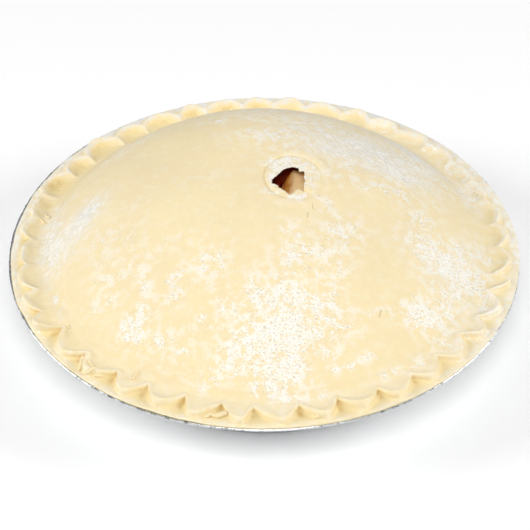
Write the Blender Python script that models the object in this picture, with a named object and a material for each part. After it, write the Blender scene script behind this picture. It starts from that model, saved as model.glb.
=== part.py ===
"""Unbaked double-crust apple pie in its own foil tin, modelled in metres with +Z up.

The origin is on the table under the middle of the tin. The front of the pie faces -Y.
Four kinds of piece: the foil tin, the pastry (base and lid pinched together at the
edge, with a torn steam vent), the apple filling inside it, and the pieces of apple
that lie open under the vent.
"""

import math

import bmesh
import bpy
from mathutils import Vector

# Tin: pressed foil, drawn thicker than real foil so that it is a sound solid.
TIN_RADIUS = 0.125
TIN_HEIGHT = 0.034
TIN_BASE_RADIUS = 0.0958
TIN_MOUTH_RADIUS = 0.1152
TIN_FOIL = 0.0004
TIN_CURL_RADIUS = 0.0008
TIN_CORNER = 0.0013
TIN_BEAD_STEPS = 6

# Clearance between pieces that touch.
GAP = 0.0003

# Pastry: the crust sits a little towards the front of the tin.
CRUST_CENTRE = Vector((0.0, -0.0014))
CRUST_THICKNESS = 0.0042
LID_THICKNESS = 0.0046
DOME_RADIUS = 0.108
DOME_HEIGHT = 0.039
DOME_POWER = 2.4
DOME_FOOT = TIN_HEIGHT + 0.0012
SUMMIT = Vector((-0.004, 0.016))

# Soft lumps and hollows where fruit pushes the lid up or leaves it slack:
# azimuth in degrees, distance from the middle, spread and height.
LUMPS = (
    (200.0, 0.050, 0.022, 0.0016),
    (258.0, 0.024, 0.018, 0.0010),
    (308.0, 0.078, 0.020, 0.0018),
    (335.0, 0.052, 0.017, -0.0014),
    (342.0, 0.090, 0.018, -0.0012),
    (98.0, 0.052, 0.022, 0.0012),
    (150.0, 0.062, 0.020, -0.0010),
    (232.0, 0.082, 0.020, -0.0010),
)

# Crimped edge: a pinched ridge that zigzags between the dome and the tin's rim.
FLUTES = 40
FLUTE_SEGMENTS = 6
FLUTE_LAG = math.radians(2)
CREST_RADIUS = 0.1168
CREST_SWING = 0.0043
CREST_RISE = 0.0040
CREASE_RADIUS = 0.1096
CREASE_SWING = 0.0014
STRIP_RADIUS = 0.1226
STRIP_RISE = 0.0013

# Steam vent: a torn hole in a ring pressed into the lid. Its corners are given
# round the vent's middle as azimuth in degrees and distance.
VENT_CENTRE = Vector((0.0118, -0.0002))
VENT_CORNERS = (
    (-15, 0.0072), (29, 0.0082), (51, 0.0108), (58, 0.0101), (82, 0.0110), (98, 0.0097),
    (125, 0.0073), (147, 0.0068), (191, 0.0082), (206, 0.0064), (235, 0.0067),
    (272, 0.0093), (295, 0.0067), (314, 0.0067), (320, 0.0088),
)
PRESS_CENTRE = Vector((0.0139, 0.0038))
PRESS_RADIUS = 0.0150
PRESS_WIDTH = 0.0018
PRESS_DEPTH = 0.0006

# Space inside the crust, which the filling takes up. Reaches run from the vent's torn
# edge (0) to the crease at the dome's foot (1).
UNDERSIDE_REACHES = (0.12, 0.40, 0.70, 0.96)
CAVITY_TOP = TIN_HEIGHT - 0.0050
CAVITY_FOOT = CRUST_THICKNESS + 0.0030
CAVITY_CORNER = 0.0040

# Pit in the filling under the vent, which holds the loose pieces of apple.
PIT_CENTRE = Vector((0.0145, 0.0035))
PIT_RADIUS = 0.0160
PIT_FLOOR = TIN_HEIGHT + 0.0220
PIT_EDGE = 0.105
PIT_DROP = LID_THICKNESS + 0.0015

# Pieces of apple in the pit: name, centre, size, turn and tilt in degrees.
APPLE_PIECES = (
    ("apple_piece_1", (0.0164, 0.0070, TIN_HEIGHT + 0.0283), (0.0152, 0.0190, 0.0096), -22, 7),
    ("apple_piece_2", (0.0054, 0.0092, TIN_HEIGHT + 0.0270), (0.0058, 0.0090, 0.0068), -22, 6),
)

RING_START = math.radians(8)
RIM_RING = FLUTES * FLUTE_SEGMENTS
MID_RING = 80
INNER_RING = 40


def clear_scene():
    for thing in list(bpy.data.objects):
        bpy.data.objects.remove(thing, do_unlink=True)


def material(name, colour, roughness, metallic=0.0):
    made = bpy.data.materials.new(name)
    made.use_nodes = True
    shader = made.node_tree.nodes["Principled BSDF"]
    shader.inputs["Base Color"].default_value = (*colour, 1.0)
    shader.inputs["Roughness"].default_value = roughness
    shader.inputs["Metallic"].default_value = metallic
    return made


def finish(mesh_data, name, surface):
    """Turns a closed bmesh into a smooth-shaded object with one material."""
    bmesh.ops.recalc_face_normals(mesh_data, faces=mesh_data.faces)
    mesh = bpy.data.meshes.new(name)
    mesh_data.to_mesh(mesh)
    mesh_data.free()
    mesh.shade_smooth()
    mesh.set_sharp_from_angle(angle=math.radians(40))
    mesh.materials.append(surface)
    made = bpy.data.objects.new(name, mesh)
    bpy.context.scene.collection.objects.link(made)
    return made


def polar(angle, radius, centre=Vector((0.0, 0.0))):
    return Vector((centre.x + radius * math.cos(angle), centre.y + radius * math.sin(angle)))


def ring(mesh_data, count, place):
    """A loop of vertices from an inner pinch round; place(angle) gives each one's x, y and z."""
    angles = [RING_START + math.tau * i / count for i in range(count)]
    return [mesh_data.verts.new(place(angle)) for angle in angles]


def bridge(mesh_data, wide, narrow):
    """Joins two loops with triangles. The first loop has as many vertices or a multiple."""
    step = len(wide) // len(narrow)
    middle = step // 2
    for j, start in enumerate(narrow):
        end = narrow[(j + 1) % len(narrow)]
        run = [wide[(j * step + i) % len(wide)] for i in range(step + 1)]
        for i in range(step):
            near = start if i < middle or step == 1 else end
            mesh_data.faces.new((run[i], run[i + 1], near))
        mesh_data.faces.new((run[middle] if step > 1 else run[1], end, start))


def cap(mesh_data, loop, point):
    """Closes a loop with a fan round one point."""
    hub = mesh_data.verts.new(point)
    for i, start in enumerate(loop):
        mesh_data.faces.new((start, loop[(i + 1) % len(loop)], hub))


def lid_height(point):
    """Height of the lid's outer face: a full dome whose summit leans to the back."""
    offset = point - CRUST_CENTRE
    inside = max(0.0, 1 - (offset.length / DOME_RADIUS) ** 2)
    reach = min(1.0, (offset - SUMMIT * inside).length / DOME_RADIUS)
    height = DOME_FOOT + DOME_HEIGHT * (1 - reach**DOME_POWER)
    for azimuth, distance, spread, rise in LUMPS:
        lump = polar(math.radians(azimuth), distance, CRUST_CENTRE)
        height += inside * rise * math.exp(-(((point - lump).length / spread) ** 2))
    away = ((point - PRESS_CENTRE).length - PRESS_RADIUS) / PRESS_WIDTH
    return height - PRESS_DEPTH * math.exp(-(away**2))


def on_lid(point, drop=0.0):
    return (point.x, point.y, lid_height(point) - drop)


def flute_angle(angle):
    """Azimuth of a point of the edge. The pinches bunch up slightly at the back right."""
    return angle - FLUTE_LAG * math.cos((angle - math.radians(58)) / 2) ** 6


def flute_strength(azimuth):
    """1 where the flutes are crisp, less at the left and right, where they were pressed soft."""
    left = math.exp(-(((math.degrees(azimuth) % 360 - 178) / 24) ** 2))
    right = math.exp(-((((math.degrees(azimuth) + 180) % 360 - 205) / 28) ** 2))
    return 1 - 0.45 * left - 0.40 * right


def edge_sections(angle):
    """Radius and height of the crimped edge's rings at one place, from the crease outwards."""
    wave = 2 * abs(math.sin(FLUTES * (angle - RING_START) / 2)) ** 0.9 - 1
    crisp = flute_strength(flute_angle(angle))
    crest = CREST_RADIUS + CREST_SWING * crisp * wave
    crease = CREASE_RADIUS + CREASE_SWING * wave
    crest_z = TIN_HEIGHT + CREST_RISE * (0.35 + 0.65 * crisp)
    strip_z = TIN_HEIGHT + STRIP_RISE
    foot = min(crest + 0.0019, STRIP_RADIUS - 0.0009)
    return (
        (crease, DOME_FOOT),
        (0.45 * crease + 0.55 * crest, 0.45 * DOME_FOOT + 0.55 * crest_z),
        (crest, crest_z),
        ((crest + foot) / 2, 0.6 * crest_z + 0.4 * strip_z),
        (foot, strip_z - 0.0003 * (1 - wave)),
        (STRIP_RADIUS - 0.0004, strip_z),
        (STRIP_RADIUS, TIN_HEIGHT + 0.5 * STRIP_RISE + GAP),
        (STRIP_RADIUS - 0.0006, TIN_HEIGHT + GAP),
    )


def edge_point(angle, section):
    radius, height = edge_sections(angle)[section]
    return (*polar(flute_angle(angle), radius, CRUST_CENTRE), height)


def vent_radius(angle):
    """Distance from the vent's middle to its torn edge, straight between the corners."""
    azimuth = (math.degrees(angle) + 15) % 360 - 15
    corners = (*VENT_CORNERS, (VENT_CORNERS[0][0] + 360, VENT_CORNERS[0][1]))
    for (low, near), (high, far) in zip(corners, corners[1:]):
        if low <= azimuth <= high:
            return near + (far - near) * (azimuth - low) / (high - low)
    raise ValueError(f"no vent corner round {azimuth} degrees")


def between_vent_and_crease(angle, reach):
    """A point of the lid seen from above: reach is 0 at the vent's edge and 1 at the crease."""
    inner = polar(angle, vent_radius(angle), VENT_CENTRE)
    outer = polar(angle, DOME_RADIUS, CRUST_CENTRE)
    return inner.lerp(outer, reach)


def around_press(angle, radius):
    return polar(angle, radius, PRESS_CENTRE)


def tin_wall(height):
    """Outer radius of the tin's tapering wall."""
    share = (height - TIN_CORNER) / (TIN_HEIGHT - 2 * TIN_CORNER)
    return TIN_BASE_RADIUS + (TIN_MOUTH_RADIUS - TIN_BASE_RADIUS) * share


def tin_profile():
    """The foil's closed section as radius and height, out along the underside and back."""
    bead = (TIN_RADIUS - TIN_CURL_RADIUS, TIN_HEIGHT - TIN_CURL_RADIUS)
    outside = [
        (0.0, 0.0),
        (TIN_BASE_RADIUS - TIN_CORNER, 0.0),
        (tin_wall(TIN_CORNER), TIN_CORNER),
        (tin_wall(TIN_HEIGHT - TIN_CORNER), TIN_HEIGHT - TIN_CORNER),
        (TIN_MOUTH_RADIUS + TIN_CORNER, TIN_HEIGHT - TIN_FOIL),
    ]
    for i in range(TIN_BEAD_STEPS + 1):
        turn = math.radians(180 + 270 * i / TIN_BEAD_STEPS)
        outside.append(
            (bead[0] + TIN_CURL_RADIUS * math.cos(turn), bead[1] + TIN_CURL_RADIUS * math.sin(turn))
        )
    inside = [
        (bead[0] - TIN_FOIL, TIN_HEIGHT),
        (TIN_MOUTH_RADIUS + TIN_CORNER - TIN_FOIL, TIN_HEIGHT),
        (tin_wall(TIN_HEIGHT - TIN_CORNER) - TIN_FOIL, TIN_HEIGHT - TIN_CORNER),
        (tin_wall(TIN_CORNER) - TIN_FOIL, TIN_CORNER + TIN_FOIL),
        (TIN_BASE_RADIUS - TIN_CORNER - TIN_FOIL, TIN_FOIL),
        (0.0, TIN_FOIL),
    ]
    return outside + inside


def make_tin(surface):
    made = bmesh.new()
    (_, bottom), *sections, (_, top) = tin_profile()
    loops = [
        ring(made, MID_RING, lambda a, r=radius, z=height: (*polar(a, r), z))
        for radius, height in sections
    ]
    cap(made, loops[0], (0.0, 0.0, bottom))
    for first, second in zip(loops, loops[1:]):
        bridge(made, first, second)
    cap(made, loops[-1], (0.0, 0.0, top))
    return finish(made, "foil_tin", surface)


def crust_side(height, inset):
    """Radius of the pastry inside the tin's wall, a given distance in from the foil's face."""
    return tin_wall(height) - TIN_FOIL - inset


def make_pastry(surface):
    made = bmesh.new()
    edge = [
        ring(made, RIM_RING, lambda a, s=section: edge_point(a, s))
        for section in range(len(edge_sections(0.0)))
    ]
    for first, second in zip(edge, edge[1:]):
        bridge(made, first, second)

    dome = [
        ring(made, MID_RING, lambda a, t=reach: on_lid(between_vent_and_crease(a, t)))
        for reach in (0.95, 0.84, 0.66, 0.47)
    ]
    bridge(made, edge[0], dome[0])
    pressed = [
        ring(made, INNER_RING, lambda a, r=radius: on_lid(around_press(a, r)))
        for radius in (PRESS_RADIUS + 0.004, PRESS_RADIUS)
    ]
    torn = [
        ring(made, INNER_RING, lambda a, d=drop: on_lid(between_vent_and_crease(a, 0.0), d))
        for drop in (0.0, LID_THICKNESS)
    ]
    under = [
        ring(
            made, INNER_RING,
            lambda a, t=reach: on_lid(between_vent_and_crease(a, t), LID_THICKNESS),
        )
        for reach in UNDERSIDE_REACHES
    ]
    cavity_floor = TIN_FOIL + GAP + CRUST_THICKNESS
    cavity = [
        ring(made, INNER_RING, lambda a, r=radius, z=height: (*polar(a, r), z))
        for radius, height in (
            (crust_side(CAVITY_TOP, CRUST_THICKNESS), CAVITY_TOP),
            (crust_side(CAVITY_FOOT, CRUST_THICKNESS), CAVITY_FOOT),
            (crust_side(CAVITY_FOOT, CRUST_THICKNESS + CAVITY_CORNER), cavity_floor),
        )
    ]
    loops = [*dome, *pressed, *torn, *under, *cavity]
    for first, second in zip(loops, loops[1:]):
        bridge(made, first, second)
    cap(made, cavity[-1], (0.0, 0.0, cavity_floor))

    wall_top = TIN_HEIGHT - TIN_CORNER
    wall_foot = TIN_CORNER + TIN_FOIL
    outside = [
        ring(made, MID_RING, lambda a, r=radius, z=height: (*polar(a, r), z))
        for radius, height in (
            (TIN_MOUTH_RADIUS + TIN_CORNER - TIN_FOIL, TIN_HEIGHT + GAP),
            (crust_side(wall_top, GAP), wall_top),
            (crust_side(wall_foot, GAP), wall_foot + GAP),
            (TIN_BASE_RADIUS - TIN_CORNER - TIN_FOIL - GAP, TIN_FOIL + GAP),
        )
    ]
    bridge(made, edge[-1], outside[0])
    for first, second in zip(outside, outside[1:]):
        bridge(made, first, second)
    cap(made, outside[-1], (0.0, 0.0, TIN_FOIL + GAP))
    return finish(made, "pastry_crust", surface)


def make_filling(surface):
    """The apple filling, one body that fills the crust and is open in a pit at the vent."""
    made = bmesh.new()
    floor = TIN_FOIL + 2 * GAP + CRUST_THICKNESS
    inset = CRUST_THICKNESS + 2 * GAP
    loops = [
        ring(made, INNER_RING, lambda a: (*polar(a, PIT_RADIUS, PIT_CENTRE), PIT_FLOOR)),
        ring(made, INNER_RING, lambda a: on_lid(between_vent_and_crease(a, PIT_EDGE), PIT_DROP)),
    ]
    loops += [
        ring(
            made, INNER_RING,
            lambda a, t=reach: on_lid(between_vent_and_crease(a, t), LID_THICKNESS + GAP),
        )
        for reach in (*UNDERSIDE_REACHES[:-1], UNDERSIDE_REACHES[-1] - 0.006)
    ]
    loops += [
        ring(made, INNER_RING, lambda a, r=radius, z=height: (*polar(a, r), z))
        for radius, height in (
            (crust_side(CAVITY_TOP, inset), CAVITY_TOP),
            (crust_side(CAVITY_FOOT, inset), CAVITY_FOOT),
            (crust_side(CAVITY_FOOT, inset + CAVITY_CORNER), floor),
        )
    ]
    cap(made, loops[0], (*PIT_CENTRE, PIT_FLOOR))
    for first, second in zip(loops, loops[1:]):
        bridge(made, first, second)
    cap(made, loops[-1], (0.0, 0.0, floor))
    return finish(made, "apple_filling", surface)


def make_apple_piece(name, centre, size, turn, tilt, surface):
    """A cut wedge of apple: a bevelled block that narrows towards its core side."""
    made = bmesh.new()
    bmesh.ops.create_cube(made, size=1.0)
    for corner in made.verts:
        narrow = 0.85 if corner.co.y > 0 else 1.0
        corner.co.x *= narrow
        corner.co.z *= narrow
    bmesh.ops.scale(made, vec=size, verts=made.verts)
    bmesh.ops.bevel(
        made, geom=made.edges[:], offset=0.18 * min(size), segments=2, profile=0.6, affect="EDGES"
    )
    bmesh.ops.triangulate(made, faces=made.faces)
    piece = finish(made, name, surface)
    piece.rotation_euler = (math.radians(tilt), 0.0, math.radians(turn))
    piece.location = centre
    return piece


def main():
    clear_scene()
    foil = material("pressed_foil", (0.80, 0.81, 0.82), 0.32, metallic=1.0)
    dough = material("raw_shortcrust", (0.93, 0.83, 0.62), 0.62)
    syrup = material("apple_filling", (0.30, 0.11, 0.04), 0.35)
    apple = material("cut_apple", (0.70, 0.42, 0.20), 0.38)
    make_tin(foil)
    make_pastry(dough)
    make_filling(syrup)
    for name, centre, size, turn, tilt in APPLE_PIECES:
        make_apple_piece(name, centre, size, turn, tilt, apple)


main()
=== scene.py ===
"""Unbaked apple pie in its own foil tin: the finish of every piece, laid out as an add-on.

Metres, +Z up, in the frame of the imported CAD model. The front of the pie faces -Y. Each
piece has an operator, the sizes and colours that a user would change are in property
groups, and one panel lists both.
"""

import math
from functools import partial

import bmesh
import bpy
import numpy as np
from bpy.props import FloatProperty, FloatVectorProperty, IntProperty, PointerProperty
from mathutils import Matrix, Vector, noise


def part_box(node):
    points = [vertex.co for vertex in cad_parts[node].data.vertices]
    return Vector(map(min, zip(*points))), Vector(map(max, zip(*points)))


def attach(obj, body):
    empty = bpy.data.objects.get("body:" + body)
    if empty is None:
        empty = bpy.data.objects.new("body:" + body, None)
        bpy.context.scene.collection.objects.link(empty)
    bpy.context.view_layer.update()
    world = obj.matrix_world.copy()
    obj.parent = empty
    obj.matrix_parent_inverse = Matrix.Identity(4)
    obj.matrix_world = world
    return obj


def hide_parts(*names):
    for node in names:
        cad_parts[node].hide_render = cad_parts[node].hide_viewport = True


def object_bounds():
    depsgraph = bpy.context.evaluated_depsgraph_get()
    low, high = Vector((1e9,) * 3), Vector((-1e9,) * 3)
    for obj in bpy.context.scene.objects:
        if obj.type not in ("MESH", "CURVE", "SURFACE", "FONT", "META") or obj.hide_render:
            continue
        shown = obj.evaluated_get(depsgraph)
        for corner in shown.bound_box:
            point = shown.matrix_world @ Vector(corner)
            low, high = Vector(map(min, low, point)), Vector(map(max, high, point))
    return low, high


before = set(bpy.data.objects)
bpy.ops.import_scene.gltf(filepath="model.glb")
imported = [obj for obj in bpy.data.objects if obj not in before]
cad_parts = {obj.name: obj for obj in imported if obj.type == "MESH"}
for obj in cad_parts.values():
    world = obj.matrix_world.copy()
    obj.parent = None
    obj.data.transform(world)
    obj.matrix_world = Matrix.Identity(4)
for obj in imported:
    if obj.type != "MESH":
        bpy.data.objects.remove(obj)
CAD_LOW, CAD_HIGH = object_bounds()

bl_info = {
    "name": "Unbaked apple pie in a foil tin",
    "version": (1, 0, 0),
    "blender": (4, 5, 0),
    "location": "View3D > Sidebar > Apple pie",
    "description": "Makes a raw apple pie: foil tin, fluted pastry, fruit under the vent and flour",
    "category": "Object",
}

# Metres in a millimetre, how near vertices are that count as one, and a height above the
# pie from which rays are sent down.
MM = 0.001
TOUCHING = 0.001 * MM
WELL_ABOVE = 0.2

# Tin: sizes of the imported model, with foil drawn at a thickness that still renders.
TIN_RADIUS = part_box("foil_tin")[1].x
TIN_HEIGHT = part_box("foil_tin")[1].z
TIN_BASE_RADIUS = 95.8 * MM
TIN_MOUTH_RADIUS = 115.2 * MM
TIN_CORNER = 1.3 * MM
TIN_FOIL = 0.4 * MM
TIN_CURL_RADIUS = 0.6 * MM
GAP = 0.3 * MM

# Pastry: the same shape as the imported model's, which sits a little to the front.
CRUST_CENTRE = np.array((0.0, -1.4)) * MM
CRUST_THICKNESS = 4.2 * MM
LID_THICKNESS = 4.6 * MM
DOME_RADIUS = 108 * MM
DOME_HEIGHT = 39 * MM
DOME_POWER = 2.4
DOME_FOOT = TIN_HEIGHT + 1.2 * MM
SUMMIT = np.array((-4.0, 16.0)) * MM
HEADROOM = 1.0 * MM

# Soft lumps and hollows in the lid: azimuth in degrees, then distance from the middle,
# spread and height in millimetres.
LUMPS = (
    (200, 50, 22, 1.6), (258, 24, 18, 1.0), (308, 78, 20, 1.8), (335, 52, 17, -1.4),
    (342, 90, 18, -1.2), (98, 52, 22, 1.2), (150, 62, 20, -1.0), (232, 82, 20, -1.0),
)

# Pinched edge cut through at an inner and at an outer apex of its zigzag: radius and
# height above the tin's rim in millimetres, from the crease at the dome's foot over the
# ridge and down to the strip that lies on the rim, and round under it. Where flutes are
# soft, they keep a share of their height above the strip.
FLUTES = 40
INNER_CUT = (
    (105.5, 3.3), (107.4, 2.4), (108.9, 2.1), (110.2, 2.6), (111.2, 3.1), (111.9, 2.9),
    (112.5, 2.0), (113.1, 0.9), (116.5, 0.7), (120.8, 0.9), (122.6, 1.0), (123.3, 0.7),
    (122.8, 0.25),
)
OUTER_CUT = (
    (105.5, 3.3), (109.2, 1.9), (113.0, 1.2), (115.8, 1.8), (117.7, 3.6), (119.0, 4.4),
    (120.2, 3.6), (120.9, 1.7), (121.4, 1.0), (122.0, 1.1), (122.7, 1.1), (123.3, 0.7),
    (122.8, 0.25),
)
CUT_STEPS = (2, 3, 3, 3, 3, 3, 3, 3, 3, 2, 2, 1)
STRIP_RISE = 1.2 * MM
SOFT_RISE = 0.45
APEX_ROUNDING = 0.6
DOUGH_REACH = 124.6 * MM

# How much further out, in millimetres, the trimmed edge and the lobes behind it lie, and
# how much higher the lobes stand, at some azimuths in degrees.
EDGE_SHIFT = (
    (0, 1.2), (45, 1.4), (72, 1.2), (110, 1.3), (145, 1.0), (168, 0.3), (190, 0.2), (215, 0.4),
    (262, 0.2), (280, 0.9), (300, 1.3), (330, 1.2),
)
LOBE_SHIFT = (
    (0, 2.2), (20, 1.9), (55, 1.3), (95, 1.7), (150, 1.6), (178, 2.2), (204, 2.0), (232, 0), (308, 0),
    (332, 1.8),
)
LOBE_LIFT = ((30, 0), (60, 0.3), (85, 0.3), (108, -0.7), (150, -0.9), (190, -0.3), (215, 0))

# How wide the lobes are at some azimuths: 1 where they match the notches between them,
# less where they crowd the notches into slits.
LOBE_WIDTH = ((0, 0.9), (55, 0.8), (100, 0.66), (150, 0.66), (185, 0.7), (225, 1.0), (320, 1.0))

# How deep the hollows on the dome's side of the lobes are at some azimuths, below 0 where
# they are filled, and how much painted shade, a darker yellow, lies in them; and how much
# painted shade lies on the walls on the outer side.
HOLLOWS = (
    (0, 0.3), (30, 0.25), (50, 0.3), (75, 0.6), (95, 1), (158, 1), (170, 0.7), (178, 0.2), (200, 0),
    (215, -0.4), (240, -1), (310, -1), (330, -0.2), (345, 0.3),
)
OUTER_WALL_SHADE = (
    (0, 0.15), (60, 0.1), (160, 0.1), (176, 0.8), (200, 0.8), (220, 1), (300, 1), (318, 0.6), (335, 0.25),
)

# How far the crests' notches are filled out at some azimuths: 0 where the crests zigzag
# fully, 1 where they would run straight.
EVEN_CREST = ((340, 0), (10, 0.3), (30, 0.55), (60, 0.5), (90, 0.5), (160, 0.45), (178, 0.1), (215, 0))

# How floury the crests and the strip behind them are at some azimuths.
EDGE_BLOOM = (
    (0, 0.95), (40, 0.95), (60, 0.95), (110, 0.95), (150, 0.9), (178, 0.95), (205, 0.5), (300, 0.35),
    (335, 0.65),
)

# How far the flutes' crests stray from even ones at some azimuths.
STRAY = ((0, 1.4), (40, 1), (150, 1), (168, 2.2), (208, 2.2), (226, 1), (330, 1))

# Where the flutes were pressed soft, at the left and the right: azimuth and spread in
# degrees and how soft. The pinches bunch up by the lag where they crowd most.
SOFT_FLUTES = ((178, 24, 0.40), (20, 50, 0.48))
FLUTE_LAG = math.radians(2)
FLUTE_CROWD = math.radians(58)

# Steam vent: corners of the torn edge as azimuth in degrees and distance in millimetres.
VENT_CENTRE = np.array((11.8, -0.2)) * MM
VENT_CORNERS = (
    (-65, 6.7), (-46, 6.5), (-40, 8.9), (-33, 8.2), (-15, 7.2), (29, 8.2), (46, 10.6),
    (51, 10.9), (55, 9.2), (60, 9.6), (64, 10.9), (82, 11.0), (98, 9.7), (125, 7.3),
    (147, 6.8), (172, 7.8), (191, 8.4), (202, 6.6), (213, 6.3), (235, 6.7), (259, 7.6),
    (272, 9.3), (284, 8.2),
)
VENT_LIP = 1.1 * MM
TORN_CORNER = 0.25 * MM
RAGGED_FRONT, RAGGED_BACK = 0.50 * MM, 0.14 * MM

# Ring pressed into the lid round the vent: its groove, the bank outside it, and how far the
# lid inside it is lowered. Rises and drops are shares of the groove's depth.
PRESS_CENTRE = np.array((13.9, 3.8)) * MM
PRESS_RADII = np.array((14.2, 15.9)) * MM
PRESS_DEPTH = 1.0 * MM
PRESS_WIDTH = 0.75 * MM
PRESS_DEEPEST = math.radians(165)
PRESS_LEAST = 0.28
BANK_AWAY, BANK_WIDTH, BANK_RISE = 3.2 * MM, 2.0 * MM, 0.35
INSIDE_DROP, INSIDE_STEP = 0.25, 0.5 * MM

# Tear beside the vent: both ends in plan, width and depth in millimetres.
TEAR = ((17.6, -5.4), (22.2, -7.4), 1.1, 1.4)

# Hair cracks in the dough: both ends in plan and width in millimetres.
HAIR_CRACKS = (
    ((22.6, -14.6), (22.9, -17.8), 0.24), ((20.5, -20.4), (20.2, -23.2), 0.32),
    ((25.4, -8.6), (26.4, -9.8), 0.30), ((53.2, -65.6), (52.2, -68.8), 0.36),
)

# Space inside the crust and the pit in the filling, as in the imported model.
UNDERSIDE_REACHES = (0.12, 0.40, 0.70, 0.96)
CAVITY_TOP = TIN_HEIGHT - 5.0 * MM
CAVITY_FOOT = CRUST_THICKNESS + 3.0 * MM
CAVITY_CORNER = 4.0 * MM
PIT_CENTRE = np.array((14.5, 3.5)) * MM
PIT_RADIUS = 16.0 * MM
PIT_FLOOR = TIN_HEIGHT + 22.0 * MM
PIT_EDGE = 0.105
PIT_DROP = LID_THICKNESS + 1.5 * MM
LUMP_SIZE, LUMP_DEPTH = 5 * MM, 1.1 * MM

# Mesh: rings of vertices, all of which start at the same inner apex.
RING_START = math.radians(8)
EDGE_RING = FLUTES * 24
DOME_RING = EDGE_RING // 2
INNER_RING = DOME_RING // 2
HIDDEN_RING = 120

# Where flour lies on the lid and edge: middle, half length and half width in
# millimetres, turn in degrees and how thickly it lies.
FLOUR_PATCHES = (
    # The floury heart at the front, with its lobes and drips.
    (10, -79, 18, 11, 0, 0.98), (0, -86, 13, 7.5, 0, 0.96), (9, -96, 12, 8, 0, 0.98),
    (11, -65, 14, 7, 0, 0.88), (4, -105, 7, 3, 0, 0.60), (-16, -86, 7, 7, 0, 0.50),
    (-13, -95, 8, 4, 0, 0.42), (-5, -64, 4, 9, 0, 0.78), (-12, -72, 3, 7, 25, 0.70),
    (33, -74, 10, 6, -15, 0.70), (28, -87, 6, 3.5, 0, 0.54), (26, -68, 9, 2.6, -6, 0.78),
    (-4, -103, 1.6, 7, 0, 0.84), (3, -103, 1.3, 6, 0, 0.84), (9, -103, 1.6, 7, 0, 0.84),
    (9, -108.5, 8, 2, 0, 0.80),
    # Above the heart.
    (21, -42, 14, 4.6, 6, 0.72), (12, -48, 4, 7, 0, 0.64), (22, -52, 7, 3, 0, 0.70),
    (34, -50, 6, 6, 0, 0.66), (31, -61, 3.6, 5, 0, 0.62), (13, -32, 7, 5, 0, 0.60),
    (34, -29, 7, 9, 0, 0.80), (43, -26, 5, 7, 0, 0.56), (30, -13, 3.2, 5, 0, 0.55),
    (6, -54, 7, 6, 0, 0.50),
    # Right of the heart, up to the crease.
    (75, -7, 8, 5, 0, 0.68), (77, -17, 6, 6, 0, 0.45), (67, -16, 4, 3.5, 0, 0.50),
    (95, -17, 9, 5, -10, 0.68), (81, -28, 15, 8, -12, 0.90), (93, -32, 12, 10, 0, 1.02),
    (78, -42, 7, 6, 0, 0.46), (90, -46, 8, 6, 0, 0.72), (84, -54, 5, 7, 0, 0.78),
    (73, -62, 10.5, 8, 0, 1.05), (52, -67, 8, 3, 0, 0.46), (31, -95, 3.4, 1.5, 14, 0.72),
    (38, -92.5, 4.4, 1.6, 24, 0.84), (46, -87.5, 5, 1.7, 34, 0.82),
    # Left of the heart.
    (-25, -49, 10, 8.5, 0, 0.66), (-40, -54, 6, 4.5, 0, 0.60), (-40, -63, 4, 5, 0, 0.60),
    (-55, -55, 3.4, 7, 0, 0.70), (-57, -69, 10, 5.5, 35, 0.74), (-59, -75, 5.5, 6, -10, 0.84),
    (-46, -80, 8.5, 4.5, 0, 0.68), (-64, -46, 10, 4, 8, 0.58), (-74, -57, 8, 5.5, 0, 0.58),
    (-28, -77, 4, 5.5, 0, 0.64), (-20, -68, 4, 6.5, 0, 0.62), (-37, -88, 6, 5, 0, 0.50),
    (-25, -99, 8, 3.6, 0, 0.56), (-72, -26, 16, 8, -25, 0.42), (-46, -36, 14, 4, 10, 0.38),
    (-12, -94, 11, 6, 0, 0.44), (-76, -42, 6, 8, 0, 0.36), (-50, -92, 10, 4, -20, 0.34),
    (-62, -8, 9, 3, 20, 0.34), (-30, 4, 12, 3, 15, 0.26),
    # Crease between the dome and the flutes.
    (-101, -20, 5, 10, 12, 0.70), (-104, 0, 5, 12, 0, 0.74), (-104, 22, 9, 5, 15, 0.48),
    (-97, -46, 2, 9, 28, 0.56), (56, -93, 9, 3.4, 30, 0.54),
    (69, -86, 7, 3.8, 36, 0.54), (82, -75, 6, 5.4, 44, 0.52), (24, -107, 6, 2.4, 12, 0.60),
    (-28, -104, 4, 2, -12, 0.48), (104, -45, 5, 13, 0, 0.62), (108, -14, 5, 13, 0, 0.56),
    (-75, 54, 14, 1.5, 54, 0.70), (-58, 70, 9, 1.3, 42, 0.55),
    # Over the smear at the back right, and sparse specks at the back and round the vent.
    (50, 36, 30, 12, -6, 0.55), (78, 42, 18, 10, -30, 0.60), (68, 21, 13, 8, 0, 0.70),
    (104, 36, 7, 14, 10, 0.58), (66, 92, 8, 3, -35, 0.60), (87, 74, 9, 4, -42, 0.50),
    (98, 58, 9, 5, -58, 0.64), (39, 15, 10, 6, 0, 0.62), (34, 58, 26, 9, -8, 0.45),
    (8, 58, 22, 9, 0, 0.46), (0, 37, 15, 7, 0, 0.62), (10, 26, 10, 5, 0, 0.52), (58, 5, 30, 5, 0, 0.54),
    (-64, 54, 13, 6, 32, 0.55), (-20, 56, 14, 5, 0, 0.48), (4, 14, 7, 3.6, 25, 0.60),
    (20, 14.5, 7, 3, -15, 0.46), (3, -9, 6.5, 3, -25, 0.72), (16, -11, 6.5, 2.6, 5, 0.80),
)

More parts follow.
